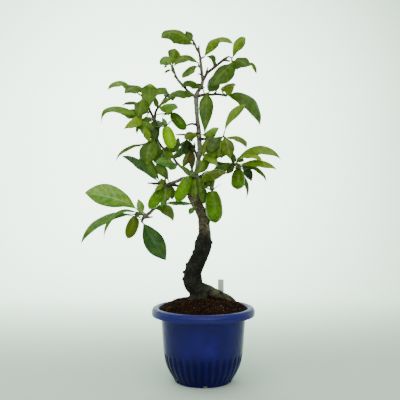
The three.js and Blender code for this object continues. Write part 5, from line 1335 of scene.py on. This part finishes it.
# %% The tree that presses the flutes
def flute_tree():
    tree, entry = new_tree("press_flutes", {
        "Flutes": "Float", "First": "Float", "Half width": "Float", "Depth": "Float",
        "From": "Float", "Top": "Float", "Plastic": "Material"})
    outer = add(tree, "GeometryNodeInputNamedAttribute", {"Name": "outer"}, data_type="FLOAT")
    spot = add(tree, "GeometryNodeInputPosition")
    across, depth, height = [add(tree, "SeparateXYZ", [spot], out=axis) for axis in ("X", "Y", "Z")]
    flat = add(tree, "VectorMath.MULTIPLY", [spot, (1, 1, 0)])
    radius = add(tree, "VectorMath.LENGTH", [flat], out="Value")
    turn = add(tree, "Math.ARCTAN2", [depth, across])
    from_first = add(tree, "Math.SUBTRACT", [turn, entry["First"]])
    pitch = add(tree, "Math.DIVIDE", [2 * math.pi, entry["Flutes"]])
    half_pitch = add(tree, "Math.MULTIPLY", [pitch, 0.5])
    shifted = add(tree, "Math.ADD", [from_first, half_pitch])
    wrapped = add(tree, "Math.FLOORED_MODULO", [shifted, pitch])
    off_turn = add(tree, "Math.SUBTRACT", [wrapped, half_pitch])
    aside = add(tree, "Math.MULTIPLY", [off_turn, POT["fluted_radius"] * MM])
    arch = add(tree, "Math.SUBTRACT", [entry["Top"], entry["Half width"]])
    over = add(tree, "Math.SUBTRACT", [height, arch])
    above = add(tree, "Math.MAXIMUM", [over, 0])
    pair = add(tree, "CombineXYZ", [aside, above])
    off = add(tree, "VectorMath.LENGTH", [pair], out="Value")
    inner = add(tree, "Math.MULTIPLY", [entry["Half width"], 0.5])
    hollow = add(tree, "MapRange", [off, inner, entry["Half width"], 1, 0], interpolation_type="SMOOTHSTEP")
    runs_out = add(tree, "Math.ADD", [entry["From"], 3 * MM])
    fade = add(tree, "MapRange", [height, entry["From"], runs_out])
    flute = add(tree, "Math.MULTIPLY", [outer, hollow])
    flute = add(tree, "Math.MULTIPLY", [flute, fade])
    amount = add(tree, "Math.MULTIPLY", [flute, entry["Depth"]])
    share = add(tree, "Math.DIVIDE", [amount, radius])
    inward = add(tree, "Math.MULTIPLY", [share, -1])
    push = add(tree, "VectorMath.SCALE", {0: flat, "Scale": inward})
    shape = add(tree, "GeometryNodeStoreNamedAttribute",
                {"Geometry": entry["Geometry"], "Name": "flute", "Value": flute}, data_type="FLOAT")
    shape = add(tree, "GeometryNodeSetPosition", {"Geometry": shape, "Offset": push})
    return close_tree(tree, shape, entry["Plastic"])


PRESS_FLUTES = flute_tree()
print(POT["flutes"], "flutes, nodes in the tree:", len(PRESS_FLUTES.nodes))

# %% [markdown]
# Glossy polypropylene has hardly any texture. What shows is soft reflections, a little unevenness from
# shrinking in the mould, a scuffed rim, and use: fine dust that dulls the shine, and a faint lime bloom
# low down, where water has dried. Its real IOR is 1.49. It is set lower here, and the foot has less
# sheen, because the pale floor of this studio reflects much more in the pot than dark surroundings do.
# The flutes and the foot are painted darker, as they are in the photograph: this is painted shade in the
# hollows of the flutes and on the foot.

# %% The finish of the pot
def plastic_finish():
    material, tree, shader, spot, flute = new_finish("glossy_blue_polypropylene", 0.2, 1.28, ["flute"])
    height = add(tree, "SeparateXYZ", [spot], out="Z")
    cloud, dust, wave = [
        add(tree, "TexNoise", {"Vector": spot, "Scale": per_metre(size), "Detail": detail})
        for size, detail in ((30, 3), (1.2, 3), (16, 1))]
    low, rim, foot = [add(tree, "MapRange", [height, *limits])
                      for limits in ((0.03, 0), (0.074, 0.084), (0.042, 0.026))]
    blue = add(tree, "ValToRGB", [cloud], stops=[(0.3, "#110e54"), (0.5, "#171162"), (0.7, "#1d1672")])
    # Painted shade: the flutes and the foot are darkened towards #07082c
    foot_shade = add(tree, "Math.MULTIPLY", [foot, 0.4])
    shade = add(tree, "Math.MULTIPLY_ADD", [flute, 0.4, foot_shade])
    grains = add(tree, "MapRange", [dust, 0.55, 0.8, 0, 0.05])
    dirt = add(tree, "Math.MULTIPLY", [grains, low])
    # The first mix paints shade into the flutes and onto the foot, the rim is lighter, and fine dust greys
    # the pot low down
    colour = blue
    for share, over in ((shade, "#07082c"), (rim, "#2c2e78"), (dirt, "#8b93a8")):
        colour = add(tree, "Mix", {0: share, 6: colour, 7: over}, data_type="RGBA", out=2)
    dull = add(tree, "MapRange", [cloud, 0.3, 0.7, 0.08, 0.15])
    scuffed = add(tree, "Math.MULTIPLY_ADD", [rim, 0.36, dull])
    rough = add(tree, "Math.MULTIPLY_ADD", [grains, 0.8, scuffed])
    sheen = add(tree, "MapRange", [foot, 0, 1, 0.5, 0.2])
    bump = add(tree, "Bump", {"Strength": 0.2, "Distance": 0.3 * MM, "Height": wave})
    plug(tree, shader, {"Base Color": colour, "Roughness": rough, "Specular IOR Level": sheen,
                        "Normal": bump})
    return material


PLASTIC = plastic_finish()
print("finish:", PLASTIC.name)

# %% [markdown]
# Each cutter is the side view of a drain slot, a block through the floor and a lower one out through
# the foot ring, swept to the slot's width. All six are one mesh that never meets itself.

# %% Press the flutes and cut the drain slots
SLOTS = {"count": 6, "width": 5, "first": -86}
SLOT_SIDE = [[17, -1], [38, -1], [38, 3.6], [28, 3.6], [28, 5.8], [17, 5.8]]


def slot_cutters():
    points, faces = [], []
    corners = len(SLOT_SIDE)
    for number in range(SLOTS["count"]):
        turn = math.radians(SLOTS["first"] + 360 * number / SLOTS["count"])
        start = len(points)
        for half in (-SLOTS["width"] / 2, SLOTS["width"] / 2):
            for out, height in SLOT_SIDE:
                points.append([(out * math.cos(turn) - half * math.sin(turn)) * MM,
                               (out * math.sin(turn) + half * math.cos(turn)) * MM, height * MM])
        faces.append([start + k for k in range(corners)])
        faces.append([start + corners + k for k in reversed(range(corners))])
        for k in range(corners):
            after = (k + 1) % corners
            faces.append([start + after, start + k, start + corners + k, start + corners + after])
    return new_mesh("slot_cutters", points, [], faces)


run_tree(pot, PRESS_FLUTES, {
    "Flutes": float(POT["flutes"]), "First": math.radians(POT["first_flute"]),
    "Half width": POT["flute_half"] * MM, "Depth": POT["flute_depth"] * MM,
    "From": POT["fluted_from"] * MM, "Top": POT["flute_top"] * MM, "Plastic": PLASTIC})
cutters = slot_cutters()
drain = pot.modifiers.new("drain", "BOOLEAN")
drain.object = cutters
drain.operation = "DIFFERENCE"
drain.solver = "EXACT"
settle(pot)
bpy.data.objects.remove(cutters)
keep(pot, "pot")

# %% [markdown]
# ## Plant label
#
# A flat tag of white plastic is pushed into the soil behind the trunk. Real ones are punched from sheet,
# so the corners are round, the edges soft, and the faces satin. This one is blank, with a soil stain
# where it enters the ground. Its rings are its outline, at four depths through its thickness.

# %% The label
TAG = {"x": 21.4, "y": 28, "turn": 8, "half": 3.5, "thick": 0.8, "bottom": 72, "top": 113.4,
       "corner": 1.6, "point": 9.6, "soft": 0.15, "half_height": 20}


def label_finish():
    material, tree, shader, spot = new_finish("white_label_plastic", 0.45, 1.49)
    height = add(tree, "SeparateXYZ", [spot], out="Z")
    smear = add(tree, "TexNoise", {"Vector": spot, "Scale": per_metre(3), "Detail": 4})
    low = add(tree, "MapRange", [height, 0.103, 0.088])
    stain = add(tree, "Math.MULTIPLY", [low, smear])
    white = add(tree, "ValToRGB", [smear], stops=[(0.3, "#d6ddd0"), (0.7, "#e8eee4")])
    colour = add(tree, "Mix", {0: stain, 6: white, 7: "#4a3627"}, data_type="RGBA", out=2)
    bump = add(tree, "Bump", {"Strength": 0.15, "Distance": 0.1 * MM, "Height": smear})
    plug(tree, shader, {"Base Color": colour, "Normal": bump})
    return material


def label_rings():
    half, corner = TAG["half"], TAG["corner"]
    outline = []
    for x_sign, z, first in ((1, TAG["top"] - corner, 0), (-1, TAG["top"] - corner, 90)):
        for turn in np.radians(first + np.linspace(0, 90, 7)):
            outline.append([x_sign * (half - corner) + corner * math.cos(turn), z + corner * math.sin(turn)])
    outline += [[-half, TAG["bottom"] + TAG["point"]], [-half + corner, TAG["bottom"]],
                [half - corner, TAG["bottom"]], [half, TAG["bottom"] + TAG["point"]]]
    outline = np.array(outline)
    middle = np.array([0, (TAG["bottom"] + TAG["top"]) / 2])
    turn = math.radians(TAG["turn"])
    rings = []
    for depth, inset in ((-0.5, 1), (-0.5, 0.4), (-0.25, 0), (0.25, 0), (0.5, 0.4), (0.5, 1)):
        shrink = 1 - inset * TAG["soft"] / half
        flat = middle + (outline - middle) * [shrink, 1 - (1 - shrink) * half / TAG["half_height"]]
        across, out = flat[:, 0], np.full(len(flat), depth * TAG["thick"])
        rings.append(np.stack([TAG["x"] + across * math.cos(turn) + out * math.sin(turn),
                               TAG["y"] + across * math.sin(turn) - out * math.cos(turn),
                               flat[:, 1]], -1) * MM)
    return np.array(rings)


tag = put_together("blank_label", [(label_rings(), 0)], [label_finish()], [])
keep(tag, "plant_label")

# %% [markdown]
# ## Studio
#
# The photograph was taken against pale paper in broad, soft light from all round, which leaves hardly a
# shadow and draws soft pale reflections along both edges of the shiny pot. So the floor and the wall
# are one pale sheet that curves up behind, where it glows. Two soft boxes stand to the left and right
# behind the tree, one hangs above it, and one stands in front, behind the camera.

# %% Floor and wall
GLOW = {"middle": (-0.15, 1.1, 0.35), "reach": 1.15, "strength": 5.5}
SHEET = {"front": -2.5, "wall": 1.1, "bend": 0.5, "top": 3.2, "half": 3}


def paper_finish():
    material, tree, shader, spot = new_finish("pale_studio_paper", 0.9)
    cloud = add(tree, "TexNoise", {"Vector": spot, "Scale": per_metre(700), "Detail": 1})
    paper = add(tree, "ValToRGB", [cloud], stops=[(0.3, "#cbe0cf"), (0.7, "#d2e6d5")])
    off = add(tree, "VectorMath.DISTANCE", [spot, GLOW["middle"]], out="Value")
    glow = add(tree, "MapRange", [off, 0.2, GLOW["reach"], GLOW["strength"], 0],
               interpolation_type="SMOOTHSTEP")
    plug(tree, shader, {"Base Color": paper, "Emission Color": paper, "Emission Strength": glow})
    return material


def paper_sweep():
    """A sheet that lies on the floor and curves up into the wall"""
    bend, wall = SHEET["bend"], SHEET["wall"]
    curve = [[wall - bend + bend * math.sin(turn), bend - bend * math.cos(turn)]
             for turn in np.linspace(0, math.pi / 2, 24)]
    profile = [[SHEET["front"], 0], *curve, [wall, SHEET["top"]]]
    points = [[side, depth, height] for depth, height in profile for side in (-SHEET["half"], SHEET["half"])]
    faces = [[2 * k, 2 * k + 1, 2 * k + 3, 2 * k + 2] for k in range(len(profile) - 1)]
    made = new_mesh("paper_sweep", points, [], faces)
    made.data.materials.append(paper_finish())
    made.data.shade_smooth()
    return made


paper_sweep()
print("the sheet rises to", SHEET["top"], "m behind the tree")

# %% Soft boxes, and the light of the room
SOFT_BOXES = {  # place, way it looks, width and height, watts
    "left_box": [(-1.05, 0.75, 0.6), (90, 0, -125), (0.7, 1.2), 5],
    "right_box": [(1.05, 0.75, 0.6), (90, 0, 125), (0.7, 1.2), 4],
    "top_box": [(-0.2, -0.5, 1.6), (18, -6, 0), (1.6, 1.4), 20],
    "front_box": [(0.3, -1.7, 0.8), (72, 0, 10), (1.6, 1.0), 14],
}
for name, (place, turns, (width, height), watts) in SOFT_BOXES.items():
    light = bpy.data.lights.new(name, "AREA")
    light.shape = "RECTANGLE"
    light.size, light.size_y = width, height
    light.energy = watts
    box = new_object(name, light)
    box.location = place
    box.rotation_euler = [math.radians(turn) for turn in turns]

world = bpy.data.worlds.new("soft_room")
bpy.context.scene.world = world
world.use_nodes = True
plug(world.node_tree, world.node_tree.nodes["Background"], {"Color": "#e6ebe6", "Strength": 0.2})
print(len(SOFT_BOXES), "soft boxes")
